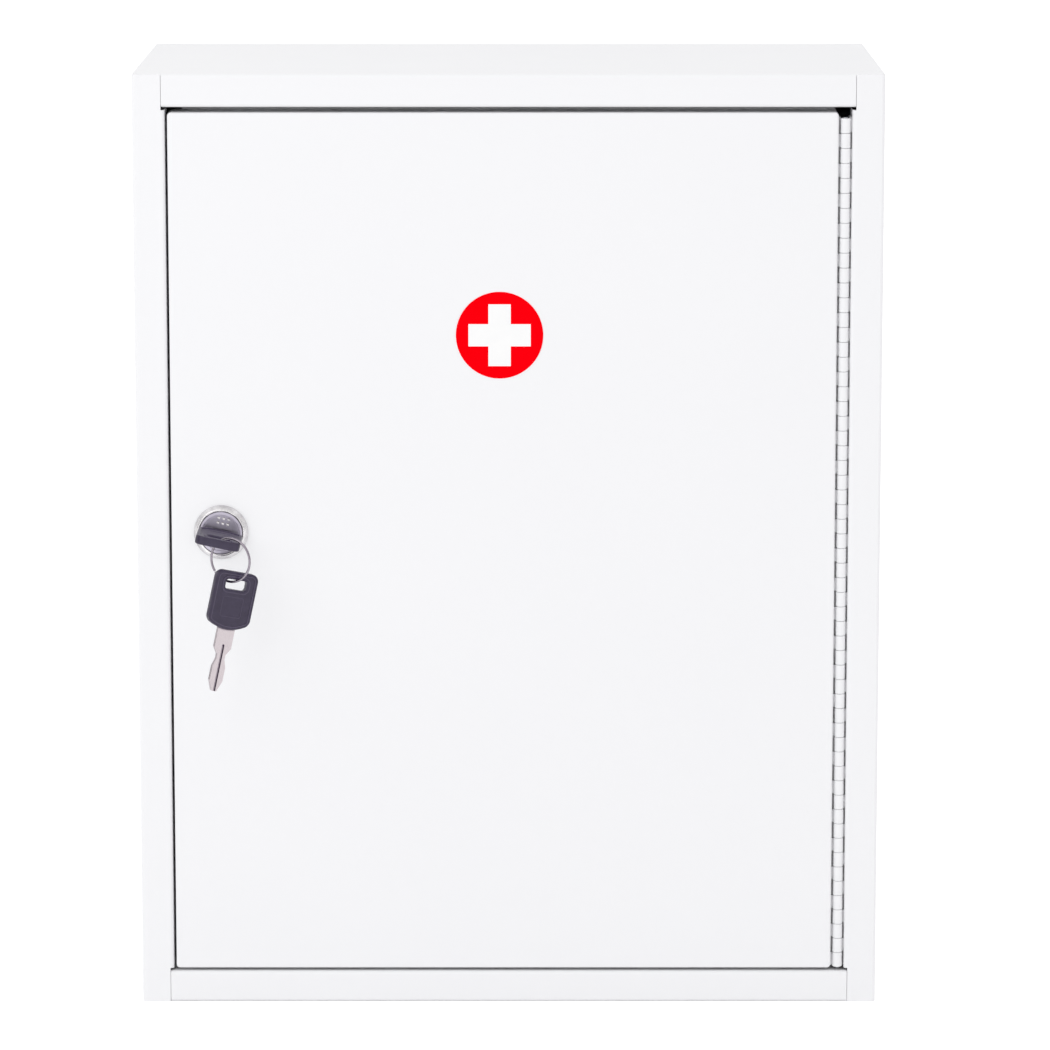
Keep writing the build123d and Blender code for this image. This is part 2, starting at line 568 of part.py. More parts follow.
def key_bow():
    """Moulded bow with a slot near its end and a pocket that holds the tang of the blade."""
    half = BOW_WIDTH / 2
    sides = Polyline((half, BOW_BULGE), (half, BOW_LENGTH), (-half, BOW_LENGTH), (-half, BOW_BULGE))
    bulge = ThreePointArc((-half, BOW_BULGE), (0, 0), (half, BOW_BULGE))
    outline = make_face(sides + bulge)
    outline = fillet(outline.vertices().filter_by(lambda v: v.Y > BOW_LENGTH - 0.01), BOW_TOP_CORNER)
    shoulders = outline.vertices().filter_by(lambda v: v.Y < BOW_BULGE + 0.01)
    outline = fillet(shoulders, BOW_SHOULDER_CORNER)
    outline -= Pos(0, SLOT_MIDDLE) * RectangleRounded(BOW_SLOT_LENGTH, BOW_SLOT_WIDTH, BOW_SLOT_CORNER)
    bow = extrude(outline, BOW_THICKNESS / 2, both=True)
    flats = bow.faces().sort_by(Axis.Z)
    bow = fillet(flats[0].edges() + flats[-1].edges(), BOW_SOFTENING)
    panel = RectangleRounded(BOW_PANEL_WIDTH, BOW_PANEL_LENGTH, BOW_PANEL_CORNER)
    for face in (BOW_THICKNESS / 2, -BOW_THICKNESS / 2):
        bow -= Pos(0, BOW_PANEL_MIDDLE, face) * extrude(panel, BOW_PANEL_DEPTH, both=True)
    half_blade, half_thick = BLADE_WIDTH / 2, BLADE / 2
    return bow - block((-half_blade, half_blade), (-BLADE_LENGTH, TANG_LENGTH), (-half_thick, half_thick))


INSERTED = LOCK * Pos(0, 0, KEY_SEAT) * Rot(90, 0, 0)

RING_X = LOCK_X + RING_SHIFT
RING_Y = FRONT - KEY_SEAT - (BOW_LENGTH - BOW_BAR / 2 - RING_INWARD)
RING_TOP = LOCK_Z + BOW_THICKNESS / 2 + WIRE_RADIUS - RING_SETTLE
RING_BOTTOM = RING_TOP - 2 * RING_RADIUS

SPARE_GRIP = Pos(SPARE_HOLD, SLOT_MIDDLE + BOW_SLOT_WIDTH / 2 - SPARE_HANG, 0)
SPARE_TURN = Rot(0, 0, SPARE_YAW) * Rot(0, SPARE_LEAN, 0) * Rot(90, 0, 0)
HUNG = Pos(RING_X, RING_Y, RING_BOTTOM) * SPARE_TURN * SPARE_GRIP.inverse()


def key_ring():
    """Wire ring through the slots of both keys, with its ends butted."""
    wire = Rot(0, 0, RING_BUTT_AT) * Torus(RING_RADIUS, WIRE_RADIUS, major_angle=360 - RING_BUTT)
    return Pos(RING_X, RING_Y, RING_TOP - RING_RADIUS) * Rot(0, 0, -RING_YAW) * Rot(90, 0, 0) * wire


# ================================================================ every piece in its place
def cabinet():
    disc_film, cross_film = emblem()
    case_leaf, door_leaf, pin = hinge()
    in_lock = {
        "lock_body": lock_body(),
        "lock_washer": lock_washer(),
        "lock_nut": lock_nut(),
        "lock_plug": lock_plug(),
        "lock_wafers": lock_wafers(),
        "wafer_springs": wafer_springs(),
        "lock_cam": lock_cam(),
        "cam_washer": cam_washer(),
        "cam_screw": cam_screw(),
    }
    pieces = {
        "left_side_panel": left_side_panel(),
        "right_side_panel": right_side_panel(),
        "top_panel": top_panel(),
        "bottom_panel": bottom_panel(),
        "back_panel": back_panel(),
        "door_panel": door_panel(),
        "emblem_disc": disc_film,
        "emblem_cross": cross_film,
        "hinge_case_leaf": case_leaf,
        "hinge_door_leaf": door_leaf,
        "hinge_pin": pin,
        "key_ring": key_ring(),
    }
    for name, level in SHELF_LEVELS.items():
        pieces[f"{name}_shelf"] = shelf(level)
        pieces[f"{name}_shelf_ledges"] = shelf_ledges(level)
    for name, piece in in_lock.items():
        pieces[name] = LOCK * piece
    for prefix, place in (("", INSERTED), ("spare_", HUNG)):
        pieces[f"{prefix}key_blade"] = place * key_blade()
        pieces[f"{prefix}key_bow"] = place * key_bow()
    return pieces


def main():
    os.makedirs("parts", exist_ok=True)
    for name, piece in cabinet().items():
        export_step(piece, f"parts/{name}.step")


main()
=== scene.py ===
# %% [markdown]
# A small steel medicine cabinet, dressed for its portrait. The sheet-metal pieces come from the
# engineering model, which is already the right size and in the right place. What is added here is
# what an engineering model leaves out: paint, plating and moulded plastic, the rounded ends of the
# hinge's knuckles, the screw thread of the lock, the moulded bows of the keys, and the light.
# Loading the frame comes first, because every later piece is placed by it.

# %% Load the frame
import json
import math
from contextlib import contextmanager

import bmesh
import bpy
from mathutils import Matrix, Vector


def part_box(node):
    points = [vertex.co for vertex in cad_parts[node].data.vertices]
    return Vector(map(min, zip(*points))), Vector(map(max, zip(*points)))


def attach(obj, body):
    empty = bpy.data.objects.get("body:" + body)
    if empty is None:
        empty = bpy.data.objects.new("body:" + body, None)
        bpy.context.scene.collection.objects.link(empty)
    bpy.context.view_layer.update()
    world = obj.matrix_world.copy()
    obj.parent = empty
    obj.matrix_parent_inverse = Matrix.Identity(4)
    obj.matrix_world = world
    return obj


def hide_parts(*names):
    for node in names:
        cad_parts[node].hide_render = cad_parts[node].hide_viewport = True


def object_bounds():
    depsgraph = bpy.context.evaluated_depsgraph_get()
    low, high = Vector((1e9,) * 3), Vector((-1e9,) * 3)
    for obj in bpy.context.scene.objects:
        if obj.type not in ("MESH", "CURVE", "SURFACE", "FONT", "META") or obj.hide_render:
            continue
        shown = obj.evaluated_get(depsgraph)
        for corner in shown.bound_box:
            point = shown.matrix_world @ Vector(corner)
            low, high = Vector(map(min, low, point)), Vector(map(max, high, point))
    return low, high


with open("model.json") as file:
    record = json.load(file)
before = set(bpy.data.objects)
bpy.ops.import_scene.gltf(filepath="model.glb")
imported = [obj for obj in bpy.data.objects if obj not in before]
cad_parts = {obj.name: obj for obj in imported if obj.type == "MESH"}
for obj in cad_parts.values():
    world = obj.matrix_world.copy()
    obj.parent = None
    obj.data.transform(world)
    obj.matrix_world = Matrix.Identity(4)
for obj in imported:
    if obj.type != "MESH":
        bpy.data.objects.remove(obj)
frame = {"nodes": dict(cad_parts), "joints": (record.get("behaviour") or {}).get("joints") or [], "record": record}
cad_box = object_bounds()
MM = 0.001
corners = [tuple(round(v, 4) for v in corner) for corner in cad_box]
print("cabinet, lowest and highest corner:", corners)

# %% [markdown]
# The picture was taken from straight in front and a little above, from far away: the sides of the
# case stay almost parallel, and only a narrow band of the top shows. A long lens gives that. Its
# length is worked out from the width of the case in the picture and the distance of the camera.

# %% Camera
PICTURE = 1050                    # pixels along each side of the picture
SENSOR = 36.0                     # mm
CASE_WIDTH = 300 * MM
CASE_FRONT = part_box("left_side_panel")[0].y
CASE_WIDTH_IN_PICTURE = 743.7     # pixels
CAMERA_REACH = 2107 * MM          # level distance from the front of the case
CAMERA_X = 6.6 * MM
CAMERA_HEIGHT = 566 * MM
PITCH = math.radians(9.90)
SIGHT = 50                        # metres, well past the far edge of the floor

slant = CAMERA_REACH / math.cos(PITCH)
LENS = CASE_WIDTH_IN_PICTURE / PICTURE * SENSOR * slant / CASE_WIDTH

bpy.ops.object.select_all(action="DESELECT")
bpy.ops.object.camera_add(
    location=(CAMERA_X, CASE_FRONT - CAMERA_REACH, CAMERA_HEIGHT),
    rotation=(math.radians(90) - PITCH, 0, 0),
)
camera = bpy.context.object
camera.name = "camera"
camera.data.sensor_width = SENSOR
camera.data.lens = LENS
camera.data.clip_end = SIGHT
bpy.context.scene.camera = camera
print(f"lens {LENS:.1f} mm at {slant:.3f} m")

# %% [markdown]
# The cabinet stands on a pale floor in a white room. The floor is a real surface that takes the
# cabinet's shadow. Seen by the camera, or mirrored in metal, it also gives off a little light of its
# own, so that it ends up white where nothing shades it. Turning up the lamps instead would burn out
# the white paint. The world does the same: plain and white to the camera, softer as a light.

# %% Floor and world
WHITE = (1, 1, 1, 1)
FLOOR_SIZE = 24.0
FLOOR_ALBEDO = 0.95
FLOOR_LIFT = 0.4                  # glow of the floor, only for the camera and in reflections
WORLD_LIGHT = 0.885


def nodes_of(owner):
    """Empty node tree of a material or world."""
    owner.use_nodes = True
    owner.node_tree.nodes.clear()
    return owner.node_tree


def node(tree, kind, inputs=None, **settings):
    """New node with its settings and with values or links for its inputs."""
    made = tree.nodes.new(kind)
    for key, value in settings.items():
        setattr(made, key, value)
    for key, value in (inputs or {}).items():
        if isinstance(value, bpy.types.NodeSocket):
            tree.links.new(value, made.inputs[key])
        else:
            made.inputs[key].default_value = value
    return made


def maths(tree, operation, first, second):
    """Result of an operation on two numbers."""
    return node(tree, "ShaderNodeMath", {0: first, 1: second}, operation=operation).outputs[0]


def seen_or_mirrored(tree):
    """1 for rays from the camera, a mirror or a glass, and 0 for light."""
    path = node(tree, "ShaderNodeLightPath").outputs
    total = maths(tree, "ADD", path["Is Camera Ray"], path["Is Glossy Ray"])
    total = maths(tree, "ADD", total, path["Is Transmission Ray"])
    return maths(tree, "MINIMUM", total, 1.0)


world = bpy.data.worlds.new("white_room")
bpy.context.scene.world = world
tree = nodes_of(world)
light = node(tree, "ShaderNodeBackground", {"Color": WHITE, "Strength": WORLD_LIGHT})
white = node(tree, "ShaderNodeBackground", {"Color": WHITE, "Strength": 1.0})
mix = node(tree, "ShaderNodeMixShader", {
    0: seen_or_mirrored(tree), 1: light.outputs[0], 2: white.outputs[0],
})
node(tree, "ShaderNodeOutputWorld", {"Surface": mix.outputs[0]})

floor_paint = bpy.data.materials.new("floor_white")
tree = nodes_of(floor_paint)
matt = node(tree, "ShaderNodeBsdfDiffuse", {"Color": (FLOOR_ALBEDO, FLOOR_ALBEDO, FLOOR_ALBEDO, 1)})
lift = maths(tree, "MULTIPLY", seen_or_mirrored(tree), FLOOR_LIFT)
glow = node(tree, "ShaderNodeEmission", {"Color": WHITE, "Strength": lift})
both = node(tree, "ShaderNodeAddShader", {0: matt.outputs[0], 1: glow.outputs[0]})
node(tree, "ShaderNodeOutputMaterial", {"Surface": both.outputs[0]})

bpy.ops.mesh.primitive_plane_add(size=FLOOR_SIZE, location=(0, 0, 0))
floor = bpy.context.object
floor.name = "floor"
floor.data.materials.append(floor_paint)
print("floor", FLOOR_SIZE, "m, world light", WORLD_LIGHT)

# %% [markdown]
# Two large soft lamps stand in front of the cabinet, a nearer one high on the left and a weak one on
# the right. Both are wider than the cabinet, so the paint is lit evenly and edges stay soft.
# Black cards round the set are an old studio trick: they can't be seen, but bright metal mirrors
# them, and without them a plated lock in a white room would have no shape.
# Light that passes from wall to wall is followed a few times only, because more would fill the gaps
# beside the door.

# %% Lamps and cards
LAMPS = {                         # size, place and power
    "soft_light_left": (1.6, (-0.95, -1.2, 1.15), 5.6),
    "soft_light_right": (1.4, (1.5, -1.8, 0.4), 1.0),
}
CARDS = {                         # width, height and place
    "black_card_left": (0.5, 1.2, (-1.4, -0.6, 0.35)),
    "black_card_right": (0.35, 1.0, (1.2, -0.8, 0.5)),
    "black_card_back_left": (0.9, 1.0, (-1.3, 1.1, 0.2)),
    "black_card_back_right": (0.7, 0.8, (1.3, 1.1, 0.2)),
}
CARD_BLACK = (0.01, 0.01, 0.012, 1)
CASE_MIDDLE = 190 * MM            # height of the middle of the front
AIM = Vector((0, CASE_FRONT, CASE_MIDDLE))
BOUNCES, SOFT_BOUNCES = 16, 3


def aimed(place, axis):
    """Rotation that turns an axis of something at a place towards the middle of the front."""
    return (AIM - Vector(place)).to_track_quat(axis, "Y").to_euler()


for name, (size, place, power) in LAMPS.items():
    bpy.ops.object.light_add(type="AREA", location=place)
    lamp = bpy.context.object
    lamp.name = name
    lamp.data.size = size
    lamp.data.energy = power
    lamp.rotation_euler = aimed(place, "-Z")

card_black = bpy.data.materials.new("card_black")
tree = nodes_of(card_black)
black = node(tree, "ShaderNodeBsdfDiffuse", {"Color": CARD_BLACK})
node(tree, "ShaderNodeOutputMaterial", {"Surface": black.outputs[0]})
for name, (width, height, place) in CARDS.items():
    bpy.ops.mesh.primitive_plane_add(size=1, location=place)
    card = bpy.context.object
    card.name = name
    card.scale = (width, height, 1)
    card.rotation_euler = aimed(place, "Z")
    card.data.materials.append(card_black)
    card.visible_camera = False
    card.visible_diffuse = False
    card.visible_shadow = False
scene = bpy.context.scene
scene.view_settings.view_transform = "Standard"
scene.cycles.max_bounces = BOUNCES
scene.cycles.diffuse_bounces = SOFT_BOUNCES
print("lamps:", *LAMPS, "cards:", *CARDS)

# %% [markdown]
# Powder coat is plastic melted onto steel: white, satin, and with a faint orange-peel surface that
# shows only where light grazes it. Two sizes of noise make that peel, and a third, very slow one moves
# the tone by less than a percent, as it does on a real baked coat. Object coordinates keep the pattern
# at the same size on every piece.

# %% Helpers for finishes, and the powder coat
COAT_COLOURS = (0.909, 0.909, 0.928), (0.914, 0.914, 0.932)
COAT_ROUGHNESS = 0.40, 0.46
COAT_TONE_SIZE, COAT_GLOSS_SIZE = 90 * MM, 25 * MM
PEEL_SIZE, PEEL_DEPTH = 1.6 * MM, 0.03 * MM
FINE_PEEL_SIZE, FINE_PEEL_DEPTH = 0.4 * MM, 0.006 * MM


def finish_tree(name):
    """Material with one Principled shader, and its coordinates on the object."""
    material = bpy.data.materials.new(name)
    tree = nodes_of(material)
    shader = node(tree, "ShaderNodeBsdfPrincipled")
    node(tree, "ShaderNodeOutputMaterial", {"Surface": shader.outputs[0]})
    place = node(tree, "ShaderNodeTexCoord").outputs["Object"]
    return material, tree, shader, place


def set_values(shader, **values):
    """Constant values, set on the shader's own sockets."""
    for key, value in values.items():
        shader.inputs[key.replace("_", " ")].default_value = value


def noise(tree, place, size, detail=2.0, stretch=(1, 1, 1)):
    """Noise whose grains are about `size` metres across, drawn out along the axes by `stretch`."""
    scale = tuple(1 / (size * s) for s in stretch)
    spread = node(tree, "ShaderNodeMapping", {"Vector": place, "Scale": scale})
    return node(
        tree, "ShaderNodeTexNoise", {"Vector": spread.outputs[0], "Scale": 1.0, "Detail": detail}
    ).outputs["Fac"]


def between(tree, factor, low, high, start=0.3, end=0.7):
    """A number that goes from low to high as the factor goes from start to end."""
    return node(
        tree, "ShaderNodeMapRange",
        {"Value": factor, "From Min": start, "From Max": end, "To Min": low, "To Max": high},
    ).outputs[0]


def colour_between(tree, factor, low, high):
    """A colour mixed between two by a factor. Each is three numbers or the output of a node."""
    low, high = (end if isinstance(end, bpy.types.NodeSocket) else (*end, 1) for end in (low, high))
    inputs = {"Factor": factor, 6: low, 7: high}    # 6 and 7 are the node's two colours
    return node(tree, "ShaderNodeMix", inputs, data_type="RGBA").outputs[2]


def openness(tree, reach, inside=False):
    """1 where nothing is near within a reach, outside or inside the surface, and less elsewhere."""
    return node(
        tree, "ShaderNodeAmbientOcclusion", {"Distance": reach}, samples=16, inside=inside
    ).outputs["AO"]


def bump(tree, shader, height, depth, strength=1.0, under=None):
    """Relief of a given depth in metres, over another relief if there is one."""
    inputs = {"Height": height, "Distance": depth, "Strength": strength}
    if under is not None:
        inputs["Normal"] = under
    relief = node(tree, "ShaderNodeBump", inputs).outputs[0]
    tree.links.new(relief, shader.inputs["Normal"])
    return relief


def powder_coat():
    """Satin white paint with a faint orange peel."""
    material, tree, shader, place = finish_tree("white_powder_coat")
    tone = between(tree, noise(tree, place, COAT_TONE_SIZE, 1.0), 0.0, 1.0)
    tree.links.new(colour_between(tree, tone, *COAT_COLOURS), shader.inputs["Base Color"])
    gloss = between(tree, noise(tree, place, COAT_GLOSS_SIZE), *COAT_ROUGHNESS)
    tree.links.new(gloss, shader.inputs["Roughness"])
    peel = bump(tree, shader, noise(tree, place, PEEL_SIZE), PEEL_DEPTH, 0.5)
    bump(tree, shader, noise(tree, place, FINE_PEEL_SIZE, 1.0), FINE_PEEL_DEPTH, 0.5, peel)
    set_values(shader, Specular_IOR_Level=0.4)
    return material


FINISHES = {"white_powder_coat": powder_coat()}
print("finish: white_powder_coat")

# %% [markdown]
# The emblem is printed film. Film is thinner than a fingernail. A slow noise moves its tone a little,
# and another gives it a hint of waviness, from the sheet under it. It has no mirror shine, so that its
# red stays as deep as in the picture.

# %% Films
FILM_ROUGHNESS = 0.26, 0.34
FILM_TONE_SIZE, FILM_GLOSS_SIZE = 6 * MM, 2 * MM
FILM_WAVE_SIZE, FILM_WAVE_DEPTH = 3 * MM, 0.01 * MM


def film(name, low, high):
    """Printed film, its colour between two that are almost the same."""
    material, tree, shader, place = finish_tree(name)
    tone = between(tree, noise(tree, place, FILM_TONE_SIZE, 3.0), 0.0, 1.0)
    tree.links.new(colour_between(tree, tone, low, high), shader.inputs["Base Color"])
    gloss = between(tree, noise(tree, place, FILM_GLOSS_SIZE), *FILM_ROUGHNESS)
    tree.links.new(gloss, shader.inputs["Roughness"])
    bump(tree, shader, noise(tree, place, FILM_WAVE_SIZE, 1.0), FILM_WAVE_DEPTH, 0.4)
    set_values(shader, Specular_IOR_Level=0.0)
    return material


FINISHES["red_film"] = film("red_film", (0.975, 0.0003, 0.004), (0.99, 0.0003, 0.005))
FINISHES["white_film"] = film("white_film", (0.95, 0.95, 0.955), (0.97, 0.97, 0.97))
print("finishes: films")

# %% [markdown]
# The lock is a zinc casting, turned on a lathe and plated with nickel. A lathe leaves fine rings about
# the axis. Rings are made from the distance to the lock's axis: the coordinates are moved so that the
# axis is their middle, and only that distance is given to the noise. The face of the plug is rubbed by
# keys and fingers, so it is duller than the bezel round it, and a little violet. Cut and rolled metal
# has fine straight lines instead, so its noise is drawn out along one axis. The ring and the springs
# are wire, too thin to show a direction. The key blades get painted shade where the metal is hollow,
# which an occlusion node finds: there their colour is painted dark.

# %% Metals
JOINTS = {joint["name"]: joint for joint in frame["joints"]}
LOCK_AXIS = Vector(JOINTS["plug_turn"]["pos_m"])
LINE_DEPTH = 0.004 * MM
LATHE_PITCH, LATHE_DEPTH = 0.12 * MM, 0.01 * MM
STAIN_SIZE = 4 * MM               # of the cloudy patches on turned metal
# painted shade: the dark colour that the key blades are given in their hollows
HOLLOW_SHADE_COLOUR = (0.05, 0.03, 0.07)
HOLLOW_SHADE_REACH, HOLLOW_SHADE_SPAN = 0.8 * MM, (0.55, 0.97)    # full painted shade below the first openness, none above
TURNED_METALS = {                 # two colours, and the limits of the roughness
    "nickel_zinc_casting": ((0.42, 0.40, 0.42), (0.96, 0.95, 0.95), (0.16, 0.26)),
    "dulled_nickel": ((0.46, 0.43, 0.51), (0.60, 0.565, 0.66), (0.28, 0.38)),
}
LINED_METALS = {                  # the same, the size of the lines, their stretch, and the colour of painted shade
    "zinc_steel": ((0.38, 0.39, 0.42), (0.54, 0.55, 0.57), (0.26, 0.40), 0.5 * MM, (1, 1, 4)),
    "spring_steel": ((0.40, 0.41, 0.43), (0.55, 0.56, 0.58), (0.25, 0.35), 0.2 * MM, (1, 1, 1)),
    "wafer_brass": ((0.60, 0.42, 0.16), (0.76, 0.56, 0.25), (0.25, 0.38), 0.3 * MM, (6, 1, 1)),
    # the key blades carry painted shade in their hollows
    "key_steel": (
        (0.46, 0.41, 0.43), (0.62, 0.56, 0.58), (0.22, 0.34), 0.25 * MM, (1, 1, 12), HOLLOW_SHADE_COLOUR,
    ),
    "ring_steel": ((0.22, 0.19, 0.23), (0.36, 0.33, 0.37), (0.12, 0.20), 0.3 * MM, (3, 3, 3)),
}


def metal(name, low, high, rough, line_size, stretch, hollow_shade=None):
    """Bright metal with fine straight lines, and perhaps with painted shade of a colour in its hollows."""
    material, tree, shader, place = finish_tree(name)
    lines = noise(tree, place, line_size, 3.0, stretch)
    colour = colour_between(tree, lines, low, high)
    # painted shade: the colour is darkened where an occlusion node finds the metal hollow
    if hollow_shade is not None:
        unshaded = between(tree, openness(tree, HOLLOW_SHADE_REACH), 0.0, 1.0, *HOLLOW_SHADE_SPAN)
        colour = colour_between(tree, unshaded, hollow_shade, colour)
    tree.links.new(colour, shader.inputs["Base Color"])
    tree.links.new(between(tree, lines, *rough), shader.inputs["Roughness"])
    bump(tree, shader, lines, LINE_DEPTH, 0.6)
    set_values(shader, Metallic=1.0)
    return material


def turned_metal(name, low, high, rough):
    """Bright metal with the rings that a lathe leaves about the lock's axis."""
    material, tree, shader, place = finish_tree(name)
    centred = node(tree, "ShaderNodeMapping", {"Vector": place, "Location": -LOCK_AXIS}).outputs[0]
    flat = node(tree, "ShaderNodeVectorMath", {0: centred, 1: (1, 0, 1)}, operation="MULTIPLY")
    radius = node(tree, "ShaderNodeVectorMath", {0: flat.outputs[0]}, operation="LENGTH")
    count = maths(tree, "MULTIPLY", radius.outputs["Value"], 1 / LATHE_PITCH)
    rings = node(
        tree, "ShaderNodeTexNoise", {"W": count, "Scale": 1.0, "Detail": 2.0}, noise_dimensions="1D"
    ).outputs["Fac"]
    blend = maths(tree, "ADD", rings, noise(tree, place, STAIN_SIZE, 3.0))
    half = maths(tree, "MULTIPLY", blend, 0.5)
    factor = between(tree, half, 0.0, 1.0)
    tree.links.new(colour_between(tree, factor, low, high), shader.inputs["Base Color"])
    tree.links.new(between(tree, half, *rough), shader.inputs["Roughness"])
    bump(tree, shader, rings, LATHE_DEPTH, 0.5)
    set_values(shader, Metallic=1.0)
    return material


for name, look in TURNED_METALS.items():
    FINISHES[name] = turned_metal(name, *look)
for name, look in LINED_METALS.items():
    FINISHES[name] = metal(name, *look)
print("finishes: metals, about the lock axis", tuple(round(v, 4) for v in LOCK_AXIS))

# %% [markdown]
# The bows of the keys are moulded in a dark violet plastic with a fine spark-eroded grain, rough
# enough to look soft. Their edges are painted pale, partly as wear that pockets and fingers rub in and
# partly as painted highlight. An occlusion node that looks into the plastic instead of out of it finds
# those edges. It looks less deep than the thinnest wall of the bow, or the panel over the blade would
# turn pale too.

# %% Key plastic
PLASTIC_COLOURS = (0.022, 0.013, 0.040), (0.031, 0.021, 0.054)
PLASTIC_ROUGHNESS = 0.30, 0.42
PLASTIC_TONE_SIZE = 3 * MM
GRAIN_SIZE, GRAIN_DEPTH = 0.18 * MM, 0.012 * MM
# painted highlight and wear: the pale colour of the bows' convex edges
WORN_HIGHLIGHT_COLOUR = (0.12, 0.10, 0.165)
WORN_HIGHLIGHT_REACH, WORN_HIGHLIGHT_SPAN = 0.38 * MM, (0.4, 0.96)    # fully painted pale below, not at all above


def key_plastic():
    """Dark moulded plastic with edges painted pale, as wear and as painted highlight."""
    material, tree, shader, place = finish_tree("dark_key_plastic")
    tone = between(tree, noise(tree, place, PLASTIC_TONE_SIZE, 3.0), 0.0, 1.0)
    colour = colour_between(tree, tone, *PLASTIC_COLOURS)
    # painted highlight and wear: edges found by an inward occlusion node are painted pale
    inward = openness(tree, WORN_HIGHLIGHT_REACH, inside=True)
    worn_highlight = between(tree, inward, 1.0, 0.0, *WORN_HIGHLIGHT_SPAN)
    colour = colour_between(tree, worn_highlight, colour, WORN_HIGHLIGHT_COLOUR)
    tree.links.new(colour, shader.inputs["Base Color"])
    grain = noise(tree, place, GRAIN_SIZE)
    tree.links.new(between(tree, grain, *PLASTIC_ROUGHNESS), shader.inputs["Roughness"])
    bump(tree, shader, grain, GRAIN_DEPTH, 0.6)
    return material


FINISHES["dark_key_plastic"] = key_plastic()
print("finish: dark_key_plastic")

# %% [markdown]
# Every piece of the engineering model that stays in sight is given its finish by the record, which
# says what each piece is made of. The mesh itself is left alone. The keys hang well clear of the door,
# and in the picture they leave no haze on it, so they are kept out of the soft bounced light. The lamps
# still see them, and cast their faint shadow.

# %% Dress the pieces of the frame
KEY_BODIES = ("key", "ring", "spare_key")
BODIES = frame["record"]["behaviour"]["bodies"]
BODY_OF = {name: body for body, names in BODIES.items() for name in names}
SLOT_OF = {part["node"]: part["material_slot"] for part in frame["record"]["subparts"]}
for name, piece in frame["nodes"].items():
    piece.data.materials.clear()
    piece.data.materials.append(FINISHES[SLOT_OF[name]])
    piece.visible_diffuse = BODY_OF[name] not in KEY_BODIES
print(len(frame["nodes"]), "pieces dressed")

# %% [markdown]
# Some pieces are modelled again here, with what the engineering model leaves out. The helpers below do
# what a hand does in the editor: pick one object, go into edit mode, choose edges or faces by where
# they are, and apply a modifier. A finished piece takes the place of its engineering twin, rides on the
# same body and keeps its own mesh at the origin, so that it moves exactly as the twin would.

# %% Helpers for modelling
NEAR = 0.001 * MM                 # two places closer than this count as one
MERGE = 0.0005 * MM               # corners of a finished mesh closer than this become one
BEYOND = 20 * MM                  # reach of a cutter that has to pass everything
SMOOTH_UP_TO = math.radians(32)   # edges with a larger angle stay sharp


def alone(*things):
    """Select these objects and nothing else."""
    bpy.ops.object.select_all(action="DESELECT")
    for thing in things:
        thing.select_set(True)
        bpy.context.view_layer.objects.active = thing


def added(primitive, **settings):
    """Object made by a primitive operator, with nothing else selected."""
    alone()
    primitive(**settings)
    return bpy.context.object


def applied(thing):
    """The object, its place, turn and scale taken over by its mesh."""
    alone(thing)
    bpy.ops.object.transform_apply(location=True, rotation=True, scale=True)
    return thing


def placed(thing, place):
    """The object, moved by a matrix that its mesh then takes over."""
    thing.matrix_world = place @ thing.matrix_world
    return applied(thing)


@contextmanager
def editing(thing):
    """Edit mode for one object."""
    alone(thing)
    bpy.ops.object.mode_set(mode="EDIT")
    yield
    bpy.ops.object.mode_set(mode="OBJECT")


def choose(thing, kind, test):
    """In edit mode, select only the edges or faces that pass a test."""
    mesh = bmesh.from_edit_mesh(thing.data)
    bpy.ops.mesh.select_mode(type=kind)
    bpy.ops.mesh.select_all(action="DESELECT")
    for item in mesh.edges if kind == "EDGE" else mesh.faces:
        item.select_set(bool(test(item)))
    bmesh.update_edit_mesh(thing.data)


def on_all(operator, **settings):
    """In edit mode, run an operator on the whole mesh."""
    bpy.ops.mesh.select_all(action="SELECT")
    operator(**settings)


def every(item, test):
    """True if every corner of an edge or a face passes a test."""
    return all(test(corner.co) for corner in item.verts)


def rise_of(edge):
    """Difference in height between the ends of an edge."""
    return abs(edge.verts[0].co.z - edge.verts[1].co.z)


def box(x, y, z):
    """Block between two limits on each axis."""
    limits = (x, y, z)
    middle = [(low + high) / 2 for low, high in limits]
    thing = added(bpy.ops.mesh.primitive_cube_add, size=1, location=middle)
    thing.scale = [high - low for low, high in limits]
    return applied(thing)


def rod(radius, low, high, sides=96):
    """Plain cylinder on the Z axis between two heights."""
    return applied(added(
        bpy.ops.mesh.primitive_cylinder_add,
        vertices=sides, radius=radius, depth=high - low, location=(0, 0, (low + high) / 2),
    ))


def modified(thing, kind, **settings):
    """The object with a modifier applied."""
    alone(thing)
    modifier = thing.modifiers.new(kind, kind)
    for key, value in settings.items():
        setattr(modifier, key, value)
    bpy.ops.object.modifier_apply(modifier=modifier.name)
    return thing


def combined(operation, thing, *others):
    """Union, difference or intersection of the object with others, which are used up."""
    for other in others:
        modified(thing, "BOOLEAN", object=other, operation=operation, solver="EXACT")
        bpy.data.objects.remove(other)
    return thing


def soften(thing, width, test, segments=3):
    """Round the edges that pass a test."""
    with editing(thing):
        choose(thing, "EDGE", test)
        bpy.ops.mesh.bevel(offset=width, segments=segments, affect="EDGES", clamp_overlap=True)
    return thing


def turned(profile, sides=96):
    """Solid of revolution about Z: a disc, drawn through a profile of radius and height."""
    radius, height = profile[0]
    thing = applied(added(
        bpy.ops.mesh.primitive_circle_add,
        vertices=sides, radius=radius, fill_type="NGON", location=(0, 0, height),
    ))
    with editing(thing):
        bpy.ops.mesh.select_all(action="SELECT")
        for next_radius, next_height in profile[1:]:
            rise, growth = next_height - height, next_radius / radius
            bpy.ops.mesh.extrude_region_move(TRANSFORM_OT_translate={"value": (0, 0, rise)})
            bpy.ops.transform.resize(
                value=(growth, growth, 1), center_override=(0, 0, next_height)
            )
            radius, height = next_radius, next_height
        on_all(bpy.ops.mesh.normals_make_consistent, inside=False)
    return thing


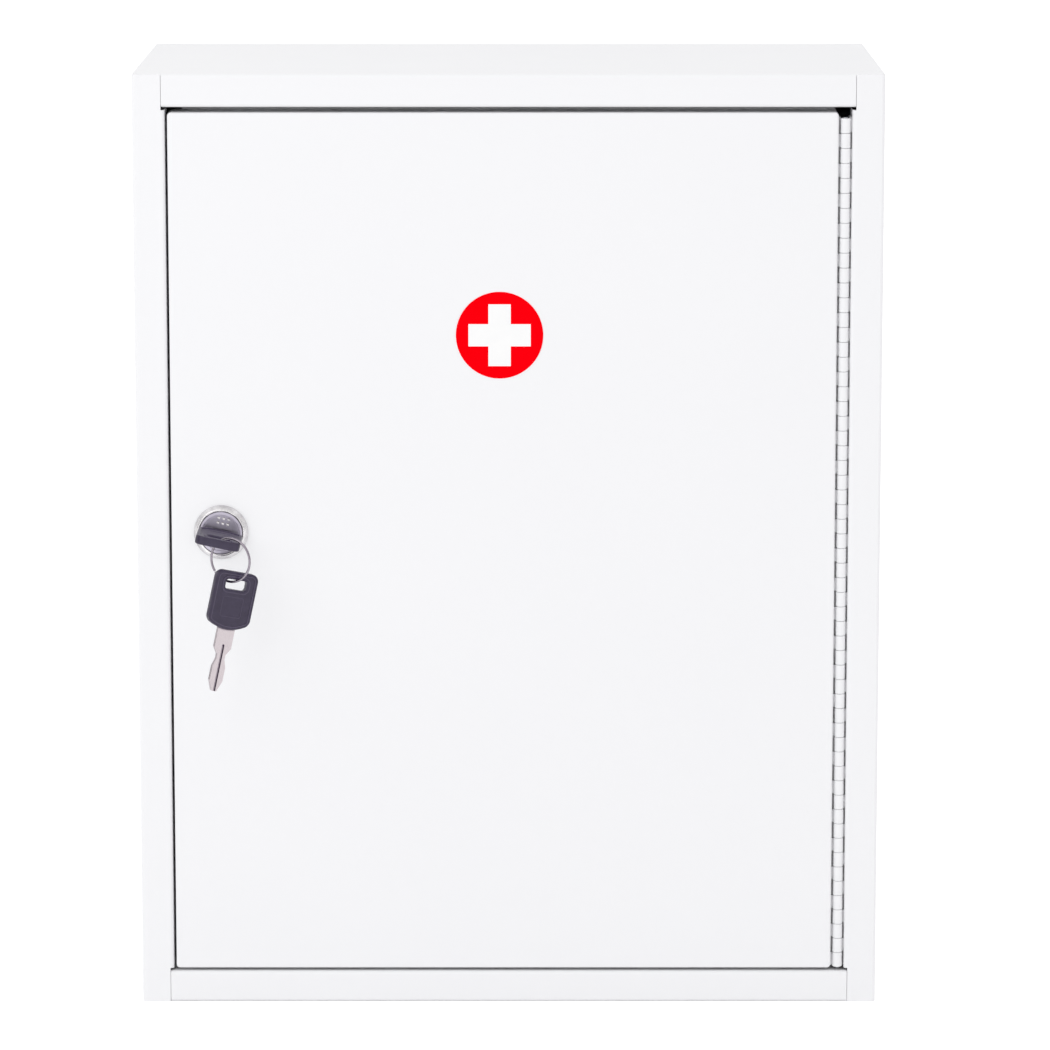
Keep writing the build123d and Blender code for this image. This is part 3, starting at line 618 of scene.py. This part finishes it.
def finished(thing, name, slot, body, *nodes, finish=None):
    """Clean and name the mesh, give it a finish, and let it stand for nodes on a body."""
    with editing(thing):
        on_all(bpy.ops.mesh.remove_doubles, threshold=MERGE)
        on_all(bpy.ops.mesh.normals_make_consistent, inside=False)
    alone(thing)
    bpy.ops.object.shade_smooth_by_angle(angle=SMOOTH_UP_TO)
    thing.name = name
    thing.data.materials.clear()
    thing.data.materials.append(FINISHES[finish or slot])
    thing.visible_diffuse = body not in KEY_BODIES
    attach(thing, body)
    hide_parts(*nodes)
    print(name, len(thing.data.polygons), "faces")
    return thing


print("modelling helpers ready")

# %% [markdown]
# The continuous hinge is what tells a steel cabinet from a toy, so its knuckles are worth the trouble.
# One knuckle is a short tube: a cylinder, its ends inset and bridged into a bore, its rims rounded. A
# neck ties it to the leaf, well behind the front of the barrel. An array then repeats it every second
# pitch, and a union joins it to the long strip. The leaf on the door is made mirrored, one pitch lower.

# %% Continuous hinge
PIN_AXIS = Vector(JOINTS["door_swing"]["pos_m"])
HINGE_BOTTOM, HINGE_TOP = (corner.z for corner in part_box("hinge_case_leaf"))
KNUCKLE_PITCH = 6 * MM
KNUCKLE_RADIUS = 2 * MM
KNUCKLE_GAP = 0.12 * MM           # between two knuckles
KNUCKLE_RIM = 0.3 * MM            # rounding of its ends
PIN_HOLE = 1.05 * MM
LEAF = 0.95 * MM
LEAF_FRONT, LEAF_BACK = 2.4 * MM, 10.8 * MM
LEAF_SOFTENING = 0.2 * MM
NECK_FRONT, NECK_INSET = 0.5 * MM, 0.4 * MM
NECK_ROOT = 0.7 * KNUCKLE_RADIUS  # the neck starts inside the wall of the tube
HINGE_SIDES = 48


def on_rim(edge):
    """True for an edge round the outside of either end of a knuckle."""
    return rise_of(edge) < 0.1 * MM and every(edge, lambda v: v.xy.length > 0.99 * KNUCKLE_RADIUS)


def knuckle():
    """Tube with rounded rims, standing on the origin."""
    low, high = KNUCKLE_GAP / 2, KNUCKLE_PITCH - KNUCKLE_GAP / 2
    tube = rod(KNUCKLE_RADIUS, low, high, HINGE_SIDES)
    with editing(tube):
        choose(tube, "FACE", lambda face: abs(face.normal.z) > 0.9)
        bpy.ops.mesh.inset(thickness=KNUCKLE_RADIUS - PIN_HOLE, use_individual=True)
        bpy.ops.mesh.bridge_edge_loops()
    return soften(tube, KNUCKLE_RIM, on_rim)


def hinge_leaf(name, node_name, body, first, side):
    """Leaf with every second knuckle, to the right (1) or to the left (-1) of the pin."""
    reach = max(abs(corner.x - PIN_AXIS.x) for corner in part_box(node_name))
    neck = box(
        (NECK_ROOT, reach), (NECK_FRONT, LEAF_FRONT + 0.5 * LEAF),
        (NECK_INSET, KNUCKLE_PITCH - NECK_INSET),
    )
    leaf = combined("UNION", knuckle(), neck)
    hole = rod(PIN_HOLE, -KNUCKLE_PITCH, 2 * KNUCKLE_PITCH, HINGE_SIDES)
    leaf = combined("DIFFERENCE", leaf, hole)
    leaf = placed(leaf, Matrix.Translation((0, 0, first * KNUCKLE_PITCH)))
    leaf = modified(
        leaf, "ARRAY", count=round((HINGE_TOP - HINGE_BOTTOM) / KNUCKLE_PITCH) // 2,
        use_relative_offset=False, use_constant_offset=True,
        constant_offset_displace=(0, 0, 2 * KNUCKLE_PITCH),
    )
    strip = box((reach - LEAF, reach), (LEAF_FRONT, LEAF_BACK), (0, HINGE_TOP - HINGE_BOTTOM))
    strip = soften(strip, LEAF_SOFTENING, lambda edge: rise_of(edge) > KNUCKLE_PITCH)
    leaf = combined("UNION", leaf, strip)
    place = Matrix.Translation((PIN_AXIS.x, PIN_AXIS.y, HINGE_BOTTOM))
    mirror = Matrix.Diagonal((side, 1, 1, 1))
    return finished(placed(leaf, place @ mirror), name, "white_powder_coat", body, node_name)


hinge_leaf("case_leaf", "hinge_case_leaf", "case", 1, 1)
hinge_leaf("door_leaf", "hinge_door_leaf", "door", 0, -1)

# %% [markdown]
# Both keys have the same moulded bow. It starts as a block. The two corners at the ring end are
# bevelled round, the blade end is cut by a large cylinder so that it bulges, and its shoulders are
# rounded. The same outline, made a little smaller, is cut into both faces, which leaves a narrow bead
# round them. Then come soft edges, a shallow plain panel, and the pocket in which the blade is held.

# %% Key bows
BOW_WIDTH, BOW_LENGTH, BOW_THICKNESS = 18 * MM, 23.5 * MM, 3.5 * MM
BOW_CORNER, BOW_SHOULDER, BOW_SOFTENING = 3 * MM, 1.7 * MM, 0.5 * MM
BULGE = 3 * MM                    # height of the arc at the blade end
SLOT_LENGTH, SLOT_WIDTH, SLOT_CORNER = 9 * MM, 4.1 * MM, 1.2 * MM
SLOT_MIDDLE = 18.25 * MM
BEAD_WIDTH, BEAD_HEIGHT = 1.3 * MM, 0.3 * MM
PANEL_WIDTH, PANEL_LENGTH, PANEL_MIDDLE = 8.6 * MM, 8 * MM, 9.2 * MM
PANEL_DEPTH, PANEL_CORNER = 0.4 * MM, 0.8 * MM
BLADE_WIDTH, BLADE, TANG = 7.1 * MM, 1.9 * MM, 6 * MM
KEY_SEAT = 4.2 * MM               # blade end of the bow, in front of the door
LOCK_TURN = math.radians(12)      # clockwise turn with which the lock was tightened in its hole
SPARE_YAW, SPARE_LEAN = math.radians(23), math.radians(13)
SPARE_GRIP = Vector((-2.1, 19.1, 0)) * MM    # point of the spare bow that the ring holds


def along_z(edge):
    """True for an edge that runs along Z."""
    return (edge.verts[0].co - edge.verts[1].co).xy.length < NEAR


def rounded_box(x, y, z, corner):
    """Block whose four edges along Z are round."""
    return soften(box(x, y, z), corner, along_z, segments=6)


def bow_outline(inset, low, high):
    """Slab with the bow's outline and slot, smaller all round by an inset, between two heights."""
    half, top = BOW_WIDTH / 2 - inset, BOW_LENGTH - inset

    def at_ring_end(edge):
        return along_z(edge) and edge.verts[0].co.y > top / 2

    def at_shoulder(edge):
        corner = edge.verts[0].co
        return along_z(edge) and corner.y < 2 * BULGE and abs(corner.x) > half - 0.05 * MM

    slab = box((-half, half), (0, top), (low, high))
    soften(slab, BOW_CORNER - inset, at_ring_end, segments=8)
    radius = ((BOW_WIDTH / 2) ** 2 + BULGE ** 2) / (2 * BULGE)
    arc = rod(radius - inset, low - MM, high + MM, sides=48)
    slab = combined("INTERSECT", slab, placed(arc, Matrix.Translation((0, radius, 0))))
    soften(slab, BOW_SHOULDER - inset, at_shoulder, segments=5)
    long, wide = SLOT_LENGTH / 2 + inset, SLOT_WIDTH / 2 + inset
    slot = rounded_box(
        (-long, long), (SLOT_MIDDLE - wide, SLOT_MIDDLE + wide), (low - MM, high + MM),
        SLOT_CORNER + inset,
    )
    return combined("DIFFERENCE", slab, slot)


def key_bow():
    """Bow flat about the origin, its blade end at the origin and its ring end towards +Y."""
    thick = BOW_THICKNESS / 2

    def round_a_face(edge):
        flat = every(edge, lambda v: abs(abs(v.z) - thick) < NEAR)
        return flat and edge.calc_face_angle(0) > 1

    bow = bow_outline(0, -thick, thick)
    soften(bow, BOW_SOFTENING, round_a_face)
    for side in (-1, 1):
        heights = sorted((side * (thick - BEAD_HEIGHT), side * 2 * thick))
        bow = combined("DIFFERENCE", bow, bow_outline(BEAD_WIDTH, *heights))
        heights = sorted((side * (thick - PANEL_DEPTH), side * 2 * thick))
        panel = rounded_box(
            (-PANEL_WIDTH / 2, PANEL_WIDTH / 2),
            (PANEL_MIDDLE - PANEL_LENGTH / 2, PANEL_MIDDLE + PANEL_LENGTH / 2),
            heights, PANEL_CORNER,
        )
        bow = combined("DIFFERENCE", bow, panel)
    pocket = box((-BLADE_WIDTH / 2, BLADE_WIDTH / 2), (-TANG, TANG), (-BLADE / 2, BLADE / 2))
    return combined("DIFFERENCE", bow, pocket)


UPRIGHT = Matrix.Rotation(math.radians(90), 4, "X")
LOCK = Matrix.Translation(LOCK_AXIS) @ UPRIGHT @ Matrix.Rotation(-LOCK_TURN, 4, "Z")
INSERTED = LOCK @ Matrix.Translation((0, 0, KEY_SEAT)) @ UPRIGHT
RING_BOTTOM = Vector(JOINTS["spare_swing"]["pos_m"])
HUNG = (
    Matrix.Translation(RING_BOTTOM) @ Matrix.Rotation(SPARE_YAW, 4, "Z")
    @ Matrix.Rotation(SPARE_LEAN, 4, "Y") @ UPRIGHT @ Matrix.Translation(-SPARE_GRIP)
)
finished(placed(key_bow(), INSERTED), "bow_in_lock", "dark_key_plastic", "key", "key_bow")
finished(placed(key_bow(), HUNG), "bow_on_ring", "dark_key_plastic", "spare_key", "spare_key_bow")

# %% [markdown]
# The ring is a wire wound once round. A torus gives the wire, a thin slice is cut out where its ends
# butt, and the cut ends are softened a little.

# %% Key ring
RING_RADIUS, WIRE_RADIUS = 8.8 * MM, 0.5 * MM
RING_YAW = math.radians(27)
BUTT, BUTT_AT = math.radians(2), math.radians(216)
BUTT_WIDTH = RING_RADIUS * BUTT
BUTT_SOFTENING = 0.12 * MM
TOWARDS_BUTT = Vector((math.cos(BUTT_AT), math.sin(BUTT_AT), 0))
ACROSS_BUTT = Vector((-TOWARDS_BUTT.y, TOWARDS_BUTT.x, 0))


def on_wire_end(corner):
    """True for a corner on either cut end of the wire."""
    across = abs(corner.dot(ACROSS_BUTT))
    return corner.dot(TOWARDS_BUTT) > 0 and abs(across - BUTT_WIDTH / 2) < NEAR


ring = added(
    bpy.ops.mesh.primitive_torus_add,
    major_radius=RING_RADIUS, minor_radius=WIRE_RADIUS, major_segments=120, minor_segments=20,
)
slice_out = box(
    (RING_RADIUS - 2 * MM, RING_RADIUS + 2 * MM), (-BUTT_WIDTH / 2, BUTT_WIDTH / 2), (-MM, MM)
)
ring = combined("DIFFERENCE", ring, placed(slice_out, Matrix.Rotation(BUTT_AT, 4, "Z")))
soften(ring, BUTT_SOFTENING, lambda edge: every(edge, on_wire_end), segments=2)
ring_middle = Matrix.Translation(RING_BOTTOM + Vector((0, 0, RING_RADIUS)))
ring_place = ring_middle @ Matrix.Rotation(-RING_YAW, 4, "Z") @ UPRIGHT
finished(placed(ring, ring_place), "wire_ring", "ring_steel", "ring", "key_ring")

# %% [markdown]
# Screw threads are real helices. A four-cornered circle, stood on edge and with its inner corner
# deleted, is the V of one turn. The Screw modifier winds it up the rod, the open ends are filled, and
# an intersection with a plain cylinder cuts both ends square.

# %% Screw threads


def threaded_rod(radius, depth, pitch, low, high, steps=48):
    """Rod along Z with a V thread, between two heights."""
    root, start = radius - depth, low - pitch
    vee = applied(added(
        bpy.ops.mesh.primitive_circle_add, vertices=4, radius=pitch / 2,
        location=(root, 0, start), rotation=(math.radians(90), 0, 0),
    ))
    with editing(vee):
        choose(vee, "EDGE", lambda edge: any(v.co.x < root - 0.1 * pitch for v in edge.verts))
        bpy.ops.mesh.delete(type="EDGE")
        flatter = (2 * depth / pitch, 1, 1)
        on_all(bpy.ops.transform.resize, value=flatter, center_override=(root, 0, start))
    thread = modified(
        vee, "SCREW", axis="Z", screw_offset=pitch,
        iterations=math.ceil((high - low) / pitch) + 3, steps=steps, render_steps=steps,
        use_merge_vertices=True, merge_threshold=NEAR,
    )
    with editing(thread):
        on_all(bpy.ops.mesh.remove_doubles, threshold=NEAR)
        on_all(bpy.ops.mesh.fill_holes, sides=0)
        on_all(bpy.ops.mesh.normals_make_consistent, inside=False)
    return combined("INTERSECT", thread, rod(2 * radius, low, high))


print("threads ready")

# %% [markdown]
# The lock is turned about its own axis, with lengths counted outwards from the face of the door. The
# body is a threaded barrel with a conical bezel, softened at its rims. It is flattened on two sides,
# bored for the plug and grooved inside for the wafers. The nut is a hexagon whose corners a double cone
# has taken off.

# %% Lock body and nut
BARREL_RADIUS, BARREL_LENGTH, BARREL_FLAT = 9 * MM, 25 * MM, 7.8 * MM
BARREL_PITCH, BARREL_THREAD = 1.0 * MM, 0.5 * MM
BARREL_FRONT = 0.3 * MM           # the barrel ends inside the bezel
BEZEL_RADIUS, BEZEL_FACE, BEZEL_EDGE, BEZEL_HEIGHT = 11 * MM, 9.5 * MM, 0.7 * MM, 2.4 * MM
PLUG_RADIUS, PLUG_HEAD_RADIUS, PLUG_SEAT = 6 * MM, 8.6 * MM, 0.9 * MM
RIM_SOFTENING = 0.2 * MM
FIT = 0.05 * MM                   # clearance of every turning fit
GROOVE_RADIUS, GROOVE_WIDTH = 7.2 * MM, 5.9 * MM
GROOVE_BACK, GROOVE_FRONT = -21 * MM, -2 * MM
NUT_BACK, NUT_FRONT, NUT_FLAT = -4.1 * MM, -1.6 * MM, 11 * MM
NUT_CONE = 0.6                    # share of half the nut's thickness that each cone takes
NUT_BELT = 0.1 * MM               # how far the cones stand clear of the corners between them


def ring_edge(radius, height):
    """Test for the edges of a circle about Z at a height."""
    return lambda edge: every(
        edge, lambda v: abs(v.xy.length - radius) < 20 * NEAR and abs(v.z - height) < 2 * NEAR
    )


def lock_body():
    """Threaded barrel and bezel in one, bored and grooved."""
    barrel = threaded_rod(
        BARREL_RADIUS, BARREL_THREAD, BARREL_PITCH, -BARREL_LENGTH, BARREL_FRONT
    )
    for side in (-1, 1):
        outside = sorted((side * BARREL_FLAT, side * 2 * BARREL_RADIUS))
        cutter = box(outside, (-BEYOND, BEYOND), (-BARREL_LENGTH - MM, MM))
        barrel = combined("DIFFERENCE", barrel, cutter)
    bezel = turned([(BEZEL_RADIUS, 0), (BEZEL_RADIUS, BEZEL_EDGE), (BEZEL_FACE, BEZEL_HEIGHT)])
    recess = rod(PLUG_HEAD_RADIUS + FIT, PLUG_SEAT - FIT, BEZEL_HEIGHT + MM)
    bezel = combined("DIFFERENCE", bezel, recess)
    rims = (
        (BEZEL_RADIUS, BEZEL_EDGE), (BEZEL_FACE, BEZEL_HEIGHT),
        (PLUG_HEAD_RADIUS + FIT, BEZEL_HEIGHT),
    )
    for radius, height in rims:
        soften(bezel, RIM_SOFTENING, ring_edge(radius, height))
    body = combined("UNION", barrel, bezel)
    bore = rod(PLUG_RADIUS + FIT, -BARREL_LENGTH - MM, BEZEL_HEIGHT)
    groove = box(
        (-GROOVE_RADIUS, GROOVE_RADIUS), (-GROOVE_WIDTH / 2, GROOVE_WIDTH / 2),
        (GROOVE_BACK, GROOVE_FRONT),
    )
    return combined("DIFFERENCE", body, bore, groove)


def lock_nut():
    """Hexagon nut with its corners chamfered on both sides."""
    corner = NUT_FLAT / math.cos(math.radians(30))
    sixth = Matrix.Rotation(math.radians(30), 4, "Z")
    nut = placed(rod(corner, NUT_BACK, NUT_FRONT, sides=6), sixth)
    drop = (NUT_FRONT - NUT_BACK) / 2 * NUT_CONE
    cones = turned([
        (NUT_FLAT, NUT_BACK), (corner + NUT_BELT, NUT_BACK + drop),
        (corner + NUT_BELT, NUT_FRONT - drop), (NUT_FLAT, NUT_FRONT),
    ])
    nut = combined("INTERSECT", nut, cones)
    return combined("DIFFERENCE", nut, rod(BARREL_RADIUS + FIT, NUT_BACK - MM, NUT_FRONT + MM))


finished(
    placed(lock_body(), LOCK), "threaded_lock_body", "nickel_zinc_casting", "door", "lock_body"
)
finished(placed(lock_nut(), LOCK), "chamfered_nut", "zinc_steel", "door", "lock_nut")

# %% [markdown]
# The plug turns inside the body. Its face carries a pressed rim line, six plain round dimples and the
# keyway, whose mouth is chamfered so that it catches the light as the real one does. Behind the face
# are the slots of the wafers and the square tail that carries the cam, drilled for its screw.

# %% Plug
PLUG_FACE, PLUG_END, TAIL_BACK = 2.2 * MM, -25.05 * MM, -26.95 * MM
TAIL_HALF, TAIL_RADIUS = 4 * MM, 5.2 * MM
RIM_LINE_RADIUS, RIM_LINE = 7.15 * MM, 0.15 * MM
DIMPLE_RADIUS, DIMPLE_PITCH, DIMPLE_RISE = 0.62 * MM, 2 * MM, 4 * MM
DIMPLE_LIFT = 0.3 * DIMPLE_RADIUS    # the middle of its ball, in front of the face
KEYWAY = (3.8 * MM, 1.2 * MM)     # half length and half width
KEYWAY_BOTTOM, KEYWAY_CHAMFER = -21.6 * MM, 0.35 * MM
WAFERS = [-(4 + 3 * number) * MM for number in range(5)]
WAFER_SLOT = (0.555 * MM, 2.78 * MM)    # half thickness and half width
LUG_SLOT, LUG_REACH = (-1.05 * MM, 4.08 * MM), 3.68 * MM
SCREW_RADIUS, SCREW_HOLE = 2.45 * MM, -22.55 * MM


def lock_plug():
    """Plug with its keyway, wafer slots and square tail, the face outwards."""
    plug = turned([
        (TAIL_RADIUS, TAIL_BACK), (TAIL_RADIUS, PLUG_END), (PLUG_RADIUS, PLUG_END),
        (PLUG_RADIUS, PLUG_SEAT), (PLUG_HEAD_RADIUS, PLUG_SEAT), (PLUG_HEAD_RADIUS, PLUG_FACE),
    ])
    soften(plug, RIM_SOFTENING, ring_edge(PLUG_HEAD_RADIUS, PLUG_FACE))
    for turn in range(4):
        side = box((TAIL_HALF, BEYOND), (-BEYOND, BEYOND), (TAIL_BACK - MM, PLUG_END))
        side = placed(side, Matrix.Rotation(math.radians(90 * turn), 4, "Z"))
        plug = combined("DIFFERENCE", plug, side)
    line = added(
        bpy.ops.mesh.primitive_torus_add, location=(0, 0, PLUG_FACE),
        major_radius=RIM_LINE_RADIUS, minor_radius=RIM_LINE, major_segments=96, minor_segments=12,
    )
    plug = combined("DIFFERENCE", plug, line)
    long, wide = KEYWAY
    mouth_back, mouth_front = PLUG_FACE - KEYWAY_CHAMFER, PLUG_FACE + KEYWAY_CHAMFER
    keyway = box((-long, long), (-wide, wide), (KEYWAY_BOTTOM, PLUG_FACE + MM))
    mouth = box((-long, long), (-wide, wide), (mouth_back, mouth_front))
    with editing(mouth):
        choose(mouth, "FACE", lambda face: face.normal.z > 0.9)
        bpy.ops.transform.resize(
            value=(1 + 2 * KEYWAY_CHAMFER / long, 1 + 2 * KEYWAY_CHAMFER / wide, 1),
            center_override=(0, 0, mouth_front),
        )
    plug = combined("DIFFERENCE", plug, keyway, mouth)
    for row in (0, 1):
        for column in (-1, 0, 1):
            x, y = column * DIMPLE_PITCH, DIMPLE_RISE + row * DIMPLE_PITCH
            dimple = added(
                bpy.ops.mesh.primitive_uv_sphere_add, segments=24, ring_count=12,
                radius=DIMPLE_RADIUS, location=(x, y, PLUG_FACE + DIMPLE_LIFT),
            )
            plug = combined("DIFFERENCE", plug, dimple)
    half, wide = WAFER_SLOT
    for depth in WAFERS:
        thick = (depth - half, depth + half)
        slot = box((-BEYOND, BEYOND), (-wide, wide), thick)
        lug = box(LUG_SLOT, (0, LUG_REACH), thick)
        plug = combined("DIFFERENCE", plug, slot, lug)
    return combined("DIFFERENCE", plug, rod(SCREW_RADIUS + FIT, TAIL_BACK - MM, SCREW_HOLE, 48))


plug = finished(
    placed(lock_plug(), LOCK), "stamped_plug", "nickel_zinc_casting", "plug", "lock_plug",
    finish="dulled_nickel",
)

# %% [markdown]
# The dimples were pressed through the dull face, so their walls are still bright. The faces of those
# walls are found by where they are when the plug is turned back to its own axis, and they are given
# the bright finish as a second material.

# %% Bright dimples
TO_LOCK = LOCK.inverted()
DIMPLES_MIDDLE = DIMPLE_RISE + DIMPLE_PITCH / 2


def in_dimple(corner):
    """True for a place on the wall of a dimple, below the face."""
    spot = TO_LOCK @ corner
    return (
        PLUG_FACE - DIMPLE_RADIUS < spot.z and abs(spot.x) < DIMPLE_PITCH + DIMPLE_RADIUS
        and abs(spot.y - DIMPLES_MIDDLE) < DIMPLE_PITCH / 2 + DIMPLE_RADIUS
    )


def dimple_wall(face):
    """True for a face that lies in a dimple and isn't part of the flat round it."""
    return every(face, in_dimple) and (TO_LOCK.to_3x3() @ face.normal).z < 0.999


plug.data.materials.append(FINISHES["nickel_zinc_casting"])
with editing(plug):
    choose(plug, "FACE", dimple_wall)
    plug.active_material_index = 1
    bpy.ops.object.material_slot_assign()
print("bright faces:", sum(face.material_index for face in plug.data.polygons))

# %% [markdown]
# The screw that holds the cam has a pan head, turned from a domed profile. Two tapered blocks, a
# quarter turn apart, press the cross into it, and a threaded rod is its shank.

# %% Cam screw
SCREW_HEAD_RADIUS, SCREW_HEAD = 4.6 * MM, 2.6 * MM
SCREW_SEAT, SCREW_LENGTH = -27.85 * MM, 5 * MM
SCREW_THREAD, SCREW_PITCH = 0.35 * MM, 0.8 * MM
SCREW_OVERLAP = 0.2 * MM          # of the shank with the head
DOME = [(0.45, 0), (0.72, 0.15), (0.9, 0.4), (1, 0.75)]    # shares of the head's radius and height
CROSS_REACH, CROSS_HALF, CROSS_DEPTH = 2.3 * MM, 0.5 * MM, 1.3 * MM
CROSS_TAPER = (0.6, 0.7, 1)       # size of its floor against its mouth


def cam_screw():
    """Pan-head screw: a dome with a tapered cross pressed into it, and a threaded shank."""
    low = SCREW_SEAT - SCREW_HEAD
    dome = [(out * SCREW_HEAD_RADIUS, low + up * SCREW_HEAD) for out, up in DOME]
    head = turned([*dome, (SCREW_HEAD_RADIUS, SCREW_SEAT)], sides=64)
    for turn in (0, 90):
        arm = box(
            (-CROSS_REACH, CROSS_REACH), (-CROSS_HALF, CROSS_HALF), (low - MM, low + CROSS_DEPTH)
        )
        with editing(arm):
            choose(arm, "FACE", lambda face: face.normal.z > 0.9)
            bpy.ops.transform.resize(value=CROSS_TAPER, center_override=(0, 0, low + CROSS_DEPTH))
        arm = placed(arm, Matrix.Rotation(math.radians(turn), 4, "Z"))
        head = combined("DIFFERENCE", head, arm)
    shank = threaded_rod(
        SCREW_RADIUS, SCREW_THREAD, SCREW_PITCH,
        SCREW_SEAT - SCREW_OVERLAP, SCREW_SEAT + SCREW_LENGTH, steps=32,
    )
    return combined("UNION", head, shank)


finished(placed(cam_screw(), LOCK), "pan_head_screw", "zinc_steel", "plug", "cam_screw")

# %% [markdown]
# Each wafer is pushed outwards by its own little coil spring. The coil is a small circle wound up by
# the Screw modifier, and laid across the plug beside its wafer. The five are made one after the other
# and joined into one piece.

# %% Wafer springs
SPRING_RADIUS, SPRING_WIRE, SPRING_COILS = 0.27 * MM, 0.07 * MM, 10
SPRING_FROM, SPRING_LENGTH, SPRING_SIDE = -0.95 * MM, 3.9 * MM, 3.23 * MM
SPRING_STEPS = 20                 # round one coil


def coil_spring():
    """Spring along Z, standing on the origin, its wire ends closed."""
    wire = applied(added(
        bpy.ops.mesh.primitive_circle_add, vertices=10, radius=SPRING_WIRE,
        location=(SPRING_RADIUS, 0, SPRING_WIRE), rotation=(math.radians(90), 0, 0),
    ))
    rise = (SPRING_LENGTH - 2 * SPRING_WIRE) / SPRING_COILS
    coil = modified(
        wire, "SCREW", axis="Z", screw_offset=rise, iterations=SPRING_COILS,
        steps=SPRING_STEPS, render_steps=SPRING_STEPS,
    )
    with editing(coil):
        on_all(bpy.ops.mesh.fill_holes, sides=0)
    return coil


coils = []
lying = Matrix.Rotation(math.radians(90), 4, "Y")
for depth in WAFERS:
    place = Matrix.Translation((SPRING_FROM, SPRING_SIDE, depth))
    coils.append(placed(coil_spring(), place @ lying))
alone(*coils)
bpy.ops.object.join()
finished(placed(bpy.context.object, LOCK), "coil_springs", "spring_steel", "plug", "wafer_springs")
